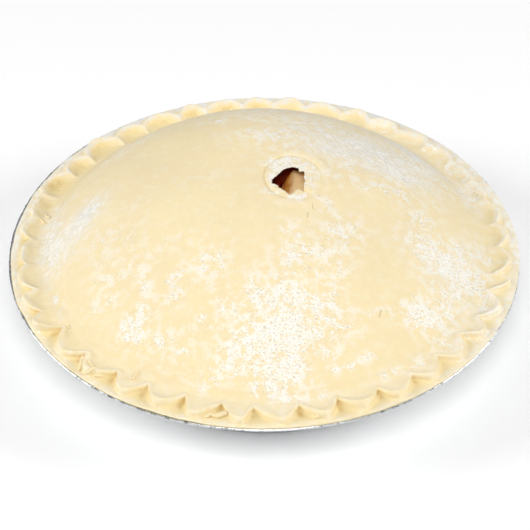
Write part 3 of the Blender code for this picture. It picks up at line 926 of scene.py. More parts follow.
def raw_shortcrust(look, flour):
    """Raw shortcrust, rolled by hand: butter-yellow, matt and short of gloss, with a faint
    glow through its surface, mottled by butter and dusted with flour that clings as grains."""
    made, node, shader, place = new_material("raw_shortcrust_rolled")
    across, forth, _ = node("SeparateXYZ", place).outputs
    flour_lies, veil, smear, bloom, pinched = (
        node("Attribute", attribute_name=name).outputs["Fac"] for name in PASTRY_STORES
    )

    # Butter in the dough, broad and fine, and paler flecks where a little flour is rolled in.
    broad = node("TexNoise", Vector=place, Scale=per(24), Detail=3.0)
    butter = node("TexNoise", Vector=place, Scale=per(3.2), Detail=4.0)
    tone = node("Math", broad, butter, operation="ADD")
    tone = node("MapRange", Value=tone, From_Min=0.8, From_Max=1.2)
    mottle = node("TexNoise", Vector=place, Scale=per(4.5), Detail=6.0, Roughness=0.72)
    mottle = node("MapRange", Value=mottle, From_Min=0.50, From_Max=0.64, To_Max=0.55)

    # A little yellower towards the front.
    yellower_front = node("MapRange", Value=forth, From_Min=-20 * MM, From_Max=-75 * MM, To_Max=0.20)

    # Painted shade on the flutes' walls and hollows and in the pressed groove: a darker yellow,
    # made uneven in blotches.
    blotch = node("TexNoise", Vector=place, Scale=per(3.0), Detail=4.0, Roughness=0.6)
    kept_share = node("MapRange", Value=blotch, From_Min=0.38, From_Max=0.62, To_Min=1.08, To_Max=0.78)
    pinched = node("Math", pinched, kept_share, operation="MULTIPLY")
    walls = node("MapRange", Value=pinched, To_Max=0.85)
    folds = node("MapRange", Value=pinched, From_Min=1.0, From_Max=2.0)

    # Bloom: flour on the crests, in the same blotches. Towards the back it turns the greyer
    # smear colour: partly flour wiped thin, partly painted shade where the back of the rim lies
    # in half shadow.
    uneven = node("MapRange", Value=blotch, From_Min=0.38, From_Max=0.62, To_Min=0.35, To_Max=1.45)
    bloom = node("Math", bloom, uneven, operation="MULTIPLY", use_clamp=True)
    wiped_and_back_shade = node("MapRange", Value=forth, From_Min=40 * MM, From_Max=90 * MM, To_Max=0.8)
    bloom_and_back_shade_tone = node("Mix", Factor=wiped_and_back_shade, A=flour.flour_colour, B=flour.smear_colour, data_type="RGBA")

    # Veil: flour worked into the dough near each patch, too thin to hide it.
    cloud = node("TexNoise", Vector=place, Scale=per(4.4), Detail=6.0, Roughness=0.66)
    cloud = node("MapRange", Value=cloud, From_Min=0.48, From_Max=0.57)
    veil = node("Math", cloud, veil, operation="MULTIPLY")
    veil = node("Math", veil, 0.88, operation="MULTIPLY")

    # Smear: flour rubbed off in long thin streaks, which climb towards the middle line at
    # the left and at the right alike, so the place is folded over that line first.
    out = node("Math", across, operation="ABSOLUTE")
    folded = node("CombineXYZ", X=out, Y=forth, Z=across)
    turned = node("VectorRotate", Vector=folded, Angle=STREAK_CLIMB, rotation_type="Z_AXIS")
    lie = node("Mapping", Vector=turned, Scale=(per(16), per(1.0), per(30)))
    streak = node("TexNoise", Vector=lie, Scale=1.0, Detail=5.0, Roughness=0.66, Distortion=0.15)
    streak = node("MapRange", Value=streak, From_Min=0.45, From_Max=0.62)
    film = node("MapRange", Value=smear, From_Min=0.45, From_Max=0.90, To_Max=0.62)
    film = node("Math", film, streak, operation="MAXIMUM")
    rubbed = node("Math", film, smear, operation="MULTIPLY")

    # Dashes: short flecks of thicker flour left in the smear.
    lie = node("Mapping", Vector=turned, Scale=(per(4.2), per(1.4), per(7)))
    dash = node("TexNoise", Vector=lie, Scale=1.0, Detail=4.0, Roughness=0.7)
    dash = node("MapRange", Value=dash, From_Min=0.50, From_Max=0.57)
    dash = node("Math", dash, smear, operation="MULTIPLY")

    # Grains: clusters of white specks, with dough-coloured holes even where they lie thick.
    speck = node("TexNoise", Vector=place, Scale=per(0.95), Detail=4.0, Roughness=0.75)
    cluster = node("TexNoise", Vector=place, Scale=per(4.2), Detail=5.0, Roughness=0.62)
    heaped = node("Math", cluster, 2.4, flour_lies, operation="MULTIPLY_ADD")
    heaped = node("MapRange", Value=heaped, From_Min=1.44, From_Max=2.04)
    some = node("MapRange", Value=flour_lies, From_Min=0.03, From_Max=0.25)
    heaped = node("Math", heaped, some, operation="MULTIPLY")
    bar = node("MapRange", Value=heaped, To_Min=0.74, To_Max=0.44)
    over = node("Math", speck, bar, operation="SUBTRACT")
    cover = node("MapRange", Value=over, From_Min=-0.008, From_Max=0.020)
    cover = node("Math", cover, 0.92, operation="MULTIPLY")

    # Pits: tiny shaded holes between the grains where they lie thick.
    pit = node("TexNoise", Vector=place, Scale=per(0.9), Detail=2.0)
    pit = node("MapRange", Value=pit, From_Min=0.445, From_Max=0.36)
    pit = node("Math", pit, heaped, operation="MULTIPLY")
    pit = node("Math", pit, 0.65, operation="MULTIPLY")
    crack = node("Math", hair_cracks(node, place), 0.6, operation="MULTIPLY")

    # From the plain dough up, each colour lies over those before it by its own share.
    colour = look.dough_colour
    for share, coat in (
        (tone, look.butter_colour), (mottle, look.bloom_colour), (yellower_front, look.yellow_shade_colour),
        (walls, look.yellow_shade_colour), (folds, look.fold_shade_colour), (bloom, bloom_and_back_shade_tone),
        (veil, flour.flour_colour), (rubbed, flour.smear_colour), (dash, flour.flour_colour),
        (cover, flour.flour_colour), (pit, flour.pit_colour), (crack, look.crack_colour),
    ):
        colour = node("Mix", Factor=share, A=colour, B=coat, data_type="RGBA")

    # Relief: a fine tooth, with the grains standing on it and the cracks cut in.
    tooth = node("TexNoise", Vector=place, Scale=per(1.1), Detail=5.0, Roughness=0.55)
    lift = node("Math", cover, 0.8, tooth, operation="MULTIPLY_ADD")
    lift = node("Math", crack, -2.0, lift, operation="MULTIPLY_ADD")
    bump = node("Bump", Height=lift, Strength=0.35, Distance=0.12 * MM)
    fill(
        shader, Base_Color=colour, Roughness=look.dough_roughness, Normal=bump, IOR=1.45,
        Specular_IOR_Level=0.35, Subsurface_Weight=0.12, Subsurface_Radius=(1.0, 0.85, 0.55),
        Subsurface_Scale=1.2 * MM,
    )
    return made


def dusted_flour(flour):
    """Plain wheat flour in loose grains: matt, white with a touch of cream."""
    made, node, shader, place = new_material("wheat_flour_loose")
    tone = node("TexNoise", Vector=place, Scale=per(1.0), Detail=2.0)
    colour = node("Mix", Factor=tone, A=flour.flour_colour, B=linear("#FFFDF4"), data_type="RGBA")
    fill(shader, Base_Color=colour, Roughness=0.95, Specular_IOR_Level=0.2)
    return made


def pressed_foil(look):
    """Aluminium foil pressed in a die: bright, half matt, with fine rolling lines, and painted
    dark reflections, a dull grey, in the upright creases where the wall and the rim were gathered."""
    made, node, shader, place = new_material("aluminium_foil_pressed")
    upright = node("Mapping", Vector=place, Scale=(per(2.4), per(2.4), per(45)))
    crease = node("TexNoise", Vector=upright, Scale=1.0, Detail=4.0, Roughness=0.7)
    # Painted dark reflections: grey laid in the creases, on the wall and on the rim.
    dull = node("MapRange", Value=crease, From_Min=0.5, From_Max=0.66)
    level = node("SeparateXYZ", place).outputs[2]
    wall = node("MapRange", Value=level, From_Min=1.0 * MM, From_Max=6.0 * MM, To_Max=0.1)
    rim = node("MapRange", Value=level, From_Min=TIN_HEIGHT - 2.2 * MM, From_Max=TIN_HEIGHT - 0.8 * MM)
    gathered = node("Math", wall, rim, operation="MAXIMUM")
    dull = node("Math", dull, gathered, operation="MULTIPLY")
    colour = node("Mix", Factor=dull, A=look.foil_colour, B=look.dark_reflection_colour, data_type="RGBA")
    lines = node("Mapping", Vector=place, Scale=(per(22), per(0.5), per(6)))
    rolled = node("TexNoise", Vector=lines, Scale=1.0, Detail=3.0)
    gloss = node(
        "MapRange", Value=rolled, To_Min=look.foil_roughness - 0.06, To_Max=look.foil_roughness + 0.08
    )
    height = node("Math", crease, 0.8, rolled, operation="MULTIPLY_ADD")
    bump = node("Bump", Height=height, Strength=0.3, Distance=0.1 * MM)
    fill(shader, Base_Color=colour, Metallic=1.0, Roughness=gloss, Normal=bump)
    return made


def syrupy_filling(look):
    """Sliced apple in brown sugar and cinnamon: near black in the pit's shade, red-brown where
    light reaches, wet and glossy, speckled with spice."""
    made, node, shader, place = new_material("apple_filling_syrup")
    lump = node("TexNoise", Vector=place, Scale=per(5), Detail=4.0)
    spice = node("TexNoise", Vector=place, Scale=per(0.6), Detail=3.0)
    mix = node("Math", lump, spice, operation="MULTIPLY")
    mix = node("MapRange", Value=mix, From_Min=0.16, From_Max=0.36)
    colour = node("Mix", Factor=mix, A=look.syrup_colour, B=look.deep_syrup_and_shade_colour, data_type="RGBA")
    bump = node("Bump", Height=lump, Strength=0.5, Distance=0.6 * MM)
    fill(
        shader, Base_Color=colour, Roughness=0.5, Normal=bump, IOR=1.42, Coat_Weight=0.1,
        Coat_Roughness=0.3,
    )
    return made


def cut_apple(look):
    """Cooking apple, cut and lightly sugared: tan flesh with random browner stains, and
    painted shade, browner to near black, where the mesh stores it; moist and slightly
    see-through, with fine fibres along the slice."""
    made, node, shader, place = new_material("cut_apple_flesh")
    along = node("Mapping", Vector=place, Scale=(per(1.3), per(6.0), per(1.6)))
    fibre = node("TexNoise", Vector=along, Scale=1.0, Detail=5.0)
    stain = node("TexNoise", Vector=place, Scale=per(4.0), Detail=3.0)
    # Painted shade stored on the mesh, plus random stains; near black where a piece lies deep in the pit.
    fruit_shade = node("Attribute", attribute_name="browned").outputs["Fac"]
    mottle = node("Math", stain, fibre, operation="ADD")
    mottle = node("MapRange", Value=mottle, From_Min=0.85, From_Max=1.25, To_Min=-0.25, To_Max=0.15)
    share = node("Math", fruit_shade, mottle, operation="ADD")
    colour = node("Mix", Factor=share, A=look.flesh_colour, B=look.stain_and_shade_colour, data_type="RGBA")
    deep_shade = node("MapRange", Value=share, From_Min=1.0, From_Max=1.8)
    colour = node("Mix", Factor=deep_shade, A=colour, B=look.deep_syrup_and_shade_colour, data_type="RGBA")
    bump = node("Bump", Height=fibre, Strength=0.4, Distance=0.25 * MM)
    fill(
        shader, Base_Color=colour, Roughness=0.42, Normal=bump, IOR=1.4, Subsurface_Weight=0.12,
        Subsurface_Radius=(1.0, 0.55, 0.25), Subsurface_Scale=1.0 * MM, Coat_Weight=0.25,
        Coat_Roughness=0.2,
    )
    return made


def pale_card(colour):
    """Studio card under the pie: plain, matt, all one tone apart from a trace of tooth."""
    made, node, shader, place = new_material("studio_card_matt")
    tooth = node("TexNoise", Vector=place, Scale=per(1.5), Detail=2.0)
    bump = node("Bump", Height=tooth, Strength=0.05, Distance=0.05 * MM)
    fill(shader, Base_Color=colour, Roughness=0.9, Normal=bump)
    return made


# ---------------------------------------------------------------- foil tin


def tin_section():
    """The foil's closed section, out along the underside and back along the inside, as rows
    of radius, height, and the shares of the wall's pleats and of the rim's ripple. Each
    station also has the number of steps to the next."""
    wall_top = TIN_HEIGHT - TIN_CORNER
    bead = (TIN_RADIUS - TIN_CURL_RADIUS, TIN_HEIGHT - TIN_CURL_RADIUS)
    flange = TIN_MOUTH_RADIUS + TIN_CORNER
    step = 0.6 * MM
    stations = [
        (0.0, 0.0, 0.0, 0.0, 8),
        # A low ring pressed into the base.
        (58 * MM, 0.0, 0.0, 0.0, 3),
        (60 * MM, step, 0.0, 0.0, 2),
        (64 * MM, step, 0.0, 0.0, 3),
        (66 * MM, 0.0, 0.0, 0.0, 8),
        (TIN_BASE_RADIUS - TIN_CORNER, 0.0, 0.0, 0.0, 3),
        (tin_wall(TIN_CORNER), TIN_CORNER, 0.45, 0.0, 16),
        (tin_wall(wall_top), wall_top, 1.0, 0.25, 3),
        (flange, TIN_HEIGHT - TIN_FOIL, 0.45, 1.0, 5),
    ]
    curl_steps = 10
    for i in range(curl_steps + 1):
        turn = math.radians(180 + 270 * i / curl_steps)
        stations.append(
            (bead[0] + TIN_CURL_RADIUS * math.cos(turn), bead[1] + TIN_CURL_RADIUS * math.sin(turn),
             0.0, 0.8, 1)
        )
    stations += [
        (bead[0] - TIN_FOIL, TIN_HEIGHT, 0.0, 0.9, 4),
        (flange - TIN_FOIL, TIN_HEIGHT, 0.45, 1.0, 3),
        (tin_wall(wall_top) - TIN_FOIL, wall_top, 1.0, 0.25, 12),
        (tin_wall(TIN_CORNER) - TIN_FOIL, TIN_CORNER + TIN_FOIL, 0.45, 0.0, 2),
        (TIN_BASE_RADIUS - TIN_CORNER - TIN_FOIL, TIN_FOIL, 0.0, 0.0, 6),
        (0.0, TIN_FOIL, 0.0, 0.0, 1),
    ]
    rows = []
    for start, end in zip(stations, stations[1:]):
        first, last = np.array(start[:4]), np.array(end[:4])
        rows += [first + (last - first) * i / start[4] for i in range(start[4])]
    rows.append(np.array(stations[-1][:4]))
    return np.array(rows)


def section_mesh(rows):
    """The section as a line of vertices in the XZ plane, with its two shares as attributes."""
    mesh = bpy.data.meshes.new("foil_section")
    edges = [(i, i + 1) for i in range(len(rows) - 1)]
    mesh.from_pydata([(r, 0.0, z) for r, z, _, _ in rows], edges, [])
    store(mesh, "pleat", rows[:, 2])
    store(mesh, "ripple", rows[:, 3])
    return mesh


def turned_foil_tree():
    """Turns the section round the tin, gathers the wall in pleats and ripples the rim."""
    tree, node, given = new_tree(
        "turned_foil", Steps_round="Int", Rows="Int", Pleats="Float", Pleat_depth="Float",
        Rim_ripples="Float", Ripple_height="Float", Foil="Material",
    )
    grid = node(
        "GeometryNodeMeshGrid", Size_X=1.0, Size_Y=1.0, Vertices_X=given["Steps round"],
        Vertices_Y=given["Rows"],
    )
    position = node("GeometryNodeInputPosition")
    turn, row, _ = node("SeparateXYZ", position).outputs
    turn = node("Math", turn, math.tau, operation="MULTIPLY")
    last = node("Math", given["Rows"], 1.0, operation="SUBTRACT")
    row = node("Math", row, 0.5, operation="ADD")
    row = node("Math", row, last, operation="MULTIPLY")
    row = node("Math", row, operation="ROUND")

    def from_section(field, kind):
        """What the section has in the row of each vertex."""
        return node(
            "GeometryNodeSampleIndex", Geometry=given["Geometry"], Value=field, Index=row, data_type=kind
        )

    radius, _, height = node("SeparateXYZ", from_section(position, "FLOAT_VECTOR")).outputs
    pleat, ripple = (
        node("GeometryNodeInputNamedAttribute", Name=name, data_type="FLOAT")
        for name in ("pleat", "ripple")
    )
    pleat, ripple = from_section(pleat, "FLOAT"), from_section(ripple, "FLOAT")
    cosine = node("Math", turn, operation="COSINE")
    sine = node("Math", turn, operation="SINE")
    lean = node("Math", height, per(28), operation="MULTIPLY")

    def waves(count, level, detail):
        """Noise round the tin with about that many waves."""
        across = node("Math", count, math.tau, operation="DIVIDE")
        way = node("CombineXYZ", X=cosine, Y=sine)
        way = node("VectorMath", way, Scale=across, operation="SCALE")
        up = node("CombineXYZ", Z=level)
        way = node("VectorMath", way, up, operation="ADD")
        return node("TexNoise", Vector=way, Scale=1.0, Detail=detail)

    fold = waves(given["Pleats"], lean, 1.0)
    fold = node("MapRange", Value=fold, From_Min=0.3, From_Max=0.7)
    fold = node("Math", fold, 0.5, operation="SUBTRACT")
    fold = node("Math", fold, operation="ABSOLUTE")
    fold = node("Math", fold, given["Pleat depth"], operation="MULTIPLY")
    fold = node("Math", fold, pleat, operation="MULTIPLY")
    radius = node("Math", radius, fold, operation="SUBTRACT")

    wrinkle = waves(given["Rim ripples"], 4.0, 2.0)
    wrinkle = node("MapRange", Value=wrinkle, From_Min=0.3, From_Max=0.7, To_Min=-1.0, To_Max=0.0)
    wrinkle = node("Math", wrinkle, given["Ripple height"], operation="MULTIPLY")
    wrinkle = node("Math", wrinkle, ripple, operation="MULTIPLY")
    height = node("Math", height, wrinkle, operation="ADD")
    radius = node("Math", wrinkle, 0.7, radius, operation="MULTIPLY_ADD")

    x = node("Math", radius, cosine, operation="MULTIPLY")
    y = node("Math", radius, sine, operation="MULTIPLY")
    place = node("CombineXYZ", X=x, Y=y, Z=height)
    moved = node("GeometryNodeSetPosition", Geometry=grid, Position=place)
    merged = node("GeometryNodeMergeByDistance", Geometry=moved, Distance=TOUCHING)
    end_tree(node, merged, given["Foil"])
    return tree


# ---------------------------------------------------------------- filling and fruit


def filling_mesh():
    """The filling: lumpy round the pit under the vent, plain where the crust hides it."""
    shell = Shell()
    turn = ring_angles(HIDDEN_RING)
    floor = TIN_FOIL + 2 * GAP + CRUST_THICKNESS
    pit = [
        shell.ring(raised(polar(turn, PIT_RADIUS * share, PIT_CENTRE), PIT_FLOOR), 1.0)
        for share in np.linspace(0.06, 1, 12)
    ]
    foot = raised(polar(turn, PIT_RADIUS, PIT_CENTRE), PIT_FLOOR)
    brim = on_lid(lid_plan(turn, PIT_EDGE), PIT_DROP)
    pit += [shell.ring(foot + (brim - foot) * share, 1.0) for share in np.linspace(0.1, 0.9, 9)]
    pit.append(shell.ring(brim, 0.3))
    top = [
        shell.ring(on_lid(lid_plan(turn, reach), LID_THICKNESS + GAP))
        for reach in (*UNDERSIDE_REACHES[:-1], UNDERSIDE_REACHES[-1] - 0.006)
    ]
    sides = cavity(shell, CRUST_THICKNESS + 2 * GAP, floor)
    shell.cap(pit[0], (*PIT_CENTRE, PIT_FLOOR))
    shell.chain([*pit, *top, *sides])
    shell.cap(sides[-1], (0.0, 0.0, floor))
    mesh = shell.mesh("apple_and_syrup")
    points, normals = points_of(mesh)
    sunk = LUMP_DEPTH * np.minimum(roughness(points, LUMP_SIZE) - 0.6, 0)
    move_points(mesh, points + normals * (sunk * np.concatenate(shell.shares))[:, None])
    return mesh


def fruit_mesh(node, levels):
    """A cut piece of apple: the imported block, rounded by subdivision, with fibres and pits."""
    low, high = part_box(node)
    shape = bmesh.new()
    shape.from_mesh(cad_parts[node].data)
    bmesh.ops.remove_doubles(shape, verts=shape.verts, dist=TOUCHING)
    block = bpy.data.meshes.new(node)
    shape.to_mesh(block)
    shape.free()
    rounded = new_piece("rounded_block", block)
    modifier = rounded.modifiers.new("round", "SUBSURF")
    modifier.levels = modifier.render_levels = levels
    mesh = evaluated_mesh(rounded)
    bpy.data.objects.remove(rounded)
    face_outwards(mesh)
    points, normals = points_of(mesh)
    middle, size = np.array((low + high) / 2), np.array(high - low)
    centre = (points.max(axis=0) + points.min(axis=0)) / 2
    points = middle + (points - centre) * (size - FRUIT_SPARE) / np.ptp(points, axis=0)

    # Fibres run front to back, so their ridges are stretched that way.
    ridge = roughness(points * (1, 0.24, 1), FIBRE_SIZE, 2)
    dent = roughness(points, DENT_SIZE, 2)
    points += normals * MM * (0.14 * ridge + 0.30 * dent - 0.10)[:, None]
    move_points(mesh, points)

    # Painted shade: darker on the shaded side, low down and at the back, and all over where a
    # piece lies deep in the pit; the fibres' ridges add a little.
    offset = points - middle
    across = offset[:, :2] @ (math.cos(FRUIT_TURN), math.sin(FRUIT_TURN)) / MM
    shade = np.clip((SHADED_SIDE[node] - across) / SHADE_WIDTH + 0.25 * dent, 0, 1.4)
    _, depth, height = (offset / size).T
    low_shade = ramp(-height, -0.25, 0.5)
    rear_shade = 0.8 * ramp(depth, 0.15, 1 / 3)
    browned = np.maximum.reduce((shade, low_shade, rear_shade)) + 0.12 * ridge + PIT_SHADE[node]
    store(mesh, "browned", browned)
    mesh.shade_smooth()
    return mesh


# ---------------------------------------------------------------- loose flour and scraps


def grains_tree():
    """Scatters uneven grains over a surface, as thickly as an attribute of it says."""
    tree, node, given = new_tree(
        "loose_grains", Grains_per_square_metre="Float", Smallest="Float", Largest="Float",
        Thickness_attribute="String", Faces="Int", Seed="Int", Flour="Material",
    )
    thick = given["Thickness attribute"]
    thick = node("GeometryNodeInputNamedAttribute", Name=thick, data_type="FLOAT")
    thick = node("Math", thick, 1.6, operation="POWER")
    many = node("Math", thick, given["Grains per square metre"], operation="MULTIPLY")
    spots = node(
        "GeometryNodeDistributePointsOnFaces", Mesh=given["Geometry"], Density=many, Seed=given["Seed"]
    )
    ball = node("GeometryNodeMeshIcoSphere", Radius=1.0, Subdivisions=given["Faces"])
    size = node(
        "FunctionNodeRandomValue", Min=given["Smallest"], Max=given["Largest"], Seed=given["Seed"],
        data_type="FLOAT",
    )
    squash = node(
        "FunctionNodeRandomValue", Min=(0.7, 0.7, 0.35), Max=(1.3, 1.3, 0.8), Seed=given["Seed"],
        data_type="FLOAT_VECTOR",
    )
    size = node("VectorMath", squash, Scale=size, operation="SCALE")
    grains = node(
        "GeometryNodeInstanceOnPoints", Points=spots, Instance=ball, Rotation=spots.outputs["Rotation"],
        Scale=size,
    )
    end_tree(node, grains, given["Flour"])
    return tree


def top_of(piece, x, y):
    """Point and normal of a piece's upper side over a plan place, both None past its edge."""
    _, point, normal, face = piece.ray_cast(Vector((x, y, WELL_ABOVE)), Vector((0, 0, -1)))
    return (None, None) if face < 0 else (point, normal)


def scrap_mesh(pastry):
    """Shreds of dough trimmed off and stuck to the edge, all in one mesh."""
    shape = bmesh.new()
    sides, stations = 8, 9
    for number, (degrees, radius, length, width, turn) in enumerate(SCRAPS):
        azimuth = math.radians(degrees)
        point, normal = top_of(pastry, *polar(azimuth, radius * MM, CRUST_CENTRE))
        if point is None:
            raise RuntimeError(f"no pastry lies at {degrees} degrees, {radius} mm out")
        outward = Vector((math.cos(azimuth), math.sin(azimuth), 0.0))
        along = Vector((-outward.y, outward.x, 0.0))
        along = Matrix.Rotation(math.radians(turn), 3, "Z") @ along
        along = (along - normal * along.dot(normal)).normalized()
        across = normal.cross(along)
        loops = []
        for i in range(stations):
            t = 2 * i / (stations - 1) - 1
            slim = math.sqrt(max(0.02, 1 - t**4))
            sway = SCRAP_SWAY * length * MM * noise.noise(Vector((t, number * 3.7, 0.0)))
            middle = point + along * (0.5 * length * MM * t) + across * sway
            under, _ = top_of(pastry, middle.x, middle.y)
            middle.z = max((under or middle).z, point.z - 1.5 * MM)
            middle += normal * SCRAP_LIFT * width * MM
            loop = []
            for j in range(sides):
                a = math.tau * j / sides
                lump = 1 + SCRAP_LUMPS * noise.noise(Vector((i * 0.9, j * 0.8, number * 5.1)))
                side = across * (0.5 * width * MM * slim * math.cos(a) * lump)
                up = normal * (SCRAP_RISE * width * MM * slim * math.sin(a) * lump)
                loop.append(shape.verts.new(middle + side + up))
            loops.append(loop)
        for first, second in zip(loops, loops[1:]):
            for j in range(sides):
                k = (j + 1) % sides
                shape.faces.new((first[j], first[k], second[k], second[j]))
        shape.faces.new(loops[0])
        shape.faces.new(loops[-1])
    bmesh.ops.recalc_face_normals(shape, faces=shape.faces)
    mesh = bpy.data.meshes.new("dough_scraps")
    shape.to_mesh(mesh)
    shape.free()
    mesh.shade_smooth()
    for name in PASTRY_STORES:
        mesh.attributes.new(name, "FLOAT", "POINT")
    return mesh


# ---------------------------------------------------------------- settings


def ColourProperty(name, description, default):
    """A colour property, whose default is an sRGB hex colour."""
    return FloatVectorProperty(
        name=name, description=description, default=linear(default), subtype="COLOR", size=3,
        min=0.0, max=1.0,
    )


def LengthProperty(name, description, default):
    """A property for a length of about a millimetre or less."""
    return FloatProperty(
        name=name, description=description, default=default, min=0.0, unit="LENGTH", precision=5
    )


def RoughnessProperty(name, default):
    """A roughness property."""
    return FloatProperty(
        name=name, description="0 is a mirror, 1 is matt", default=default, min=0.1, max=1.0,
        subtype="FACTOR",
    )


def PowerProperty(name, description, default):
    """A lamp's power."""
    return FloatProperty(name=name, description=description, default=default, min=0.0, unit="POWER")


class PieTinSettings(bpy.types.PropertyGroup):
    pleats: FloatProperty(
        name="Pleats", description="About how many folds gather the wall", default=110.0, min=20.0
    )
    pleat_depth: LengthProperty("Pleat depth", "Depth of a fold in the wall", 1.1 * MM)
    ripples: FloatProperty(
        name="Rim ripples", description="About how many wrinkles cross the rim", default=230.0
    )
    ripple_height: LengthProperty("Ripple height", "Height of a wrinkle in the rim", 0.40 * MM)
    foil_colour: ColourProperty("Foil", "Colour of the bright foil", "#E3E5E6")
    # Painted dark reflections in the foil's creases.
    dark_reflection_colour: ColourProperty("Creases", "Colour of the foil where it is gathered", "#7C8085")
    foil_roughness: RoughnessProperty("Foil roughness", 0.30)


class PiePastrySettings(bpy.types.PropertyGroup):
    flute_depth: FloatProperty(
        name="Flute depth", description="How far the pinches zigzag, 1 as in the packed model",
        default=1.0, min=0.2, max=1.0, subtype="FACTOR",
    )
    unevenness: FloatProperty(
        name="Unevenness", description="How rough and slack the rolled dough is",
        default=1.0, min=0.0, max=2.0,
    )
    dough_colour: ColourProperty("Dough", "Colour of the plain dough", "#EFDDB4")
    butter_colour: ColourProperty("Butter", "Colour of the dough where butter shows", "#F2E1B6")
    bloom_colour: ColourProperty("Bloom", "Colour of dough with a trace of flour rolled in", "#F3E8CB")
    # Painted shade: a darker yellow on the flutes' walls and in the pressed groove, and a little towards
    # the front.
    yellow_shade_colour: ColourProperty("Pinches", "Colour of the dough on the walls of the flutes", "#EFDAA3")
    # Painted shade deep in the folds of the edge.
    fold_shade_colour: ColourProperty("Folds", "Colour of the dough deep in the folds of the edge", "#D9B978")
    crack_colour: ColourProperty("Cracks", "Colour in the hair cracks, mostly in shade", "#B8A06C")
    dough_roughness: RoughnessProperty("Dough roughness", 0.62)


class PieFlourSettings(bpy.types.PropertyGroup):
    flour_colour: ColourProperty("Flour", "Colour of flour that lies thick", "#F6F3EB")
    smear_colour: ColourProperty("Smeared flour", "Colour of flour rubbed out thin", "#E0E3E6")
    pit_colour: ColourProperty("Pits", "Colour of the shaded holes between grains", "#CDBE9C")
    density: FloatProperty(
        name="Grains", description="Grains per square metre where flour lies thickest",
        default=0.98e6, min=0.0,
    )
    smallest: LengthProperty("Smallest grain", "Radius of the smallest grain that shows", 0.06 * MM)
    largest: LengthProperty("Largest grain", "Radius of the largest clump of flour", 0.20 * MM)
    seed: IntProperty(name="Seed", description="Another seed moves the grains", default=5)


class PieFillingSettings(bpy.types.PropertyGroup):
    syrup_colour: ColourProperty("Syrup", "Colour of the syrup where light reaches it", "#B8420F")
    # Also painted as deep shade on the apple pieces.
    deep_syrup_and_shade_colour: ColourProperty("Deep syrup", "Colour of the syrup at its thickest", "#701A08")
    flesh_colour: ColourProperty("Apple flesh", "Colour of the cut apple", "#FFDAA4")
    # Painted shade on the apple pieces, and random stains.
    stain_and_shade_colour: ColourProperty("Browned flesh", "Colour of the apple where it has browned", "#C08034")


class PieStageSettings(bpy.types.PropertyGroup):
    floor_colour: ColourProperty("Floor", "Colour of the card under the pie", "#FFFFFF")
    sky: FloatProperty(
        name="Even light", description="Strength of the light from all round", default=0.15, min=0.0
    )
    top_light: PowerProperty("Top light", "Power of the soft light above the front", 57.0)
    left_light: PowerProperty("Left light", "Power of the soft light at the left", 44.0)
    right_light: PowerProperty("Right light", "Power of the soft light at the right", 40.0)
    back_light: PowerProperty("Back card", "Power of the dim card that the foil mirrors", 3.0)


# ---------------------------------------------------------------- operators


def find_pastry():
    """The pastry, which has to be there before what lies on it."""
    pastry = bpy.data.objects.get("shortcrust_pastry")
    if pastry is None:
        raise RuntimeError("make the pastry first")
    return pastry


class PIE_OT_set_stage(bpy.types.Operator):
    """Lays the card, hangs the soft lights and sets the camera"""

    bl_idname = "pie.set_stage"
    bl_label = "Set the stage"

    def execute(self, context):
        stage = context.scene.pie_stage
        context.scene.view_settings.view_transform = "Standard"
        mesh = bpy.data.meshes.new("floor")
        reach = FLOOR_REACH
        corners = [(-reach, -reach, 0), (reach, -reach, 0), (reach, reach, 0), (-reach, reach, 0)]
        mesh.from_pydata(corners, [], [(0, 1, 2, 3)])
        mesh.materials.append(pale_card(stage.floor_colour))
        new_piece("floor", mesh)

        world = context.scene.world = bpy.data.worlds.new("studio")
        world.use_nodes = True
        fill(world.node_tree.nodes["Background"], Color=(1.0, 1.0, 1.0), Strength=stage.sky)

        aim = Vector((0.0, 0.0, TIN_HEIGHT))
        for name, azimuth, elevation in SOFTBOXES:
            light = bpy.data.lights.new(name, "AREA")
            light.shape = "DISK"
            light.size = SOFTBOX_SIZE
            light.energy = getattr(stage, name)
            lamp = new_piece(name, light)
            turn, rise = math.radians(azimuth), math.radians(elevation)
            way = Vector((*polar(turn, math.cos(rise)), math.sin(rise)))
            lamp.location = aim + SOFTBOX_DISTANCE * way
            lamp.rotation_euler = (-way).to_track_quat("-Z", "Y").to_euler()

        lens = bpy.data.cameras.new("camera")
        lens.lens = CAMERA_LENS
        lens.sensor_width = CAMERA_SENSOR
        camera = new_piece("camera", lens)
        camera.location = (
            CAMERA_SIDE,
            -CAMERA_DISTANCE * math.cos(CAMERA_ELEVATION),
            TIN_HEIGHT + CAMERA_DISTANCE * math.sin(CAMERA_ELEVATION),
        )
        camera.rotation_euler = (math.pi / 2 - CAMERA_PITCH, 0.0, 0.0)
        context.scene.camera = camera
        return {"FINISHED"}


class PIE_OT_make_tin(bpy.types.Operator):
    """Turns the foil tin and presses its pleats and rim"""

    bl_idname = "pie.make_tin"
    bl_label = "Foil tin"

    def execute(self, context):
        look = context.scene.pie_tin
        rows = tin_section()
        tin = grow(
            "pleated_foil_tin", section_mesh(rows), turned_foil_tree(),
            {"Steps round": DOME_RING + 1, "Rows": len(rows), "Pleats": look.pleats,
             "Pleat depth": look.pleat_depth, "Rim ripples": look.ripples,
             "Ripple height": look.ripple_height, "Foil": pressed_foil(look)},
        )
        face_outwards(tin.data)
        place_piece(tin, "foil", "foil_tin")
        return {"FINISHED"}


class PIE_OT_make_pastry(bpy.types.Operator):
    """Makes the pastry: dome, pinched edge, torn vent and hidden base"""

    bl_idname = "pie.make_pastry"
    bl_label = "Pastry"

    def execute(self, context):
        look = context.scene.pie_pastry
        mesh = pastry_mesh(look.flute_depth, look.unevenness)
        mesh.materials.append(raw_shortcrust(look, context.scene.pie_flour))
        place_piece(new_piece("shortcrust_pastry", mesh), "raw_pastry", "pastry_crust")
        return {"FINISHED"}


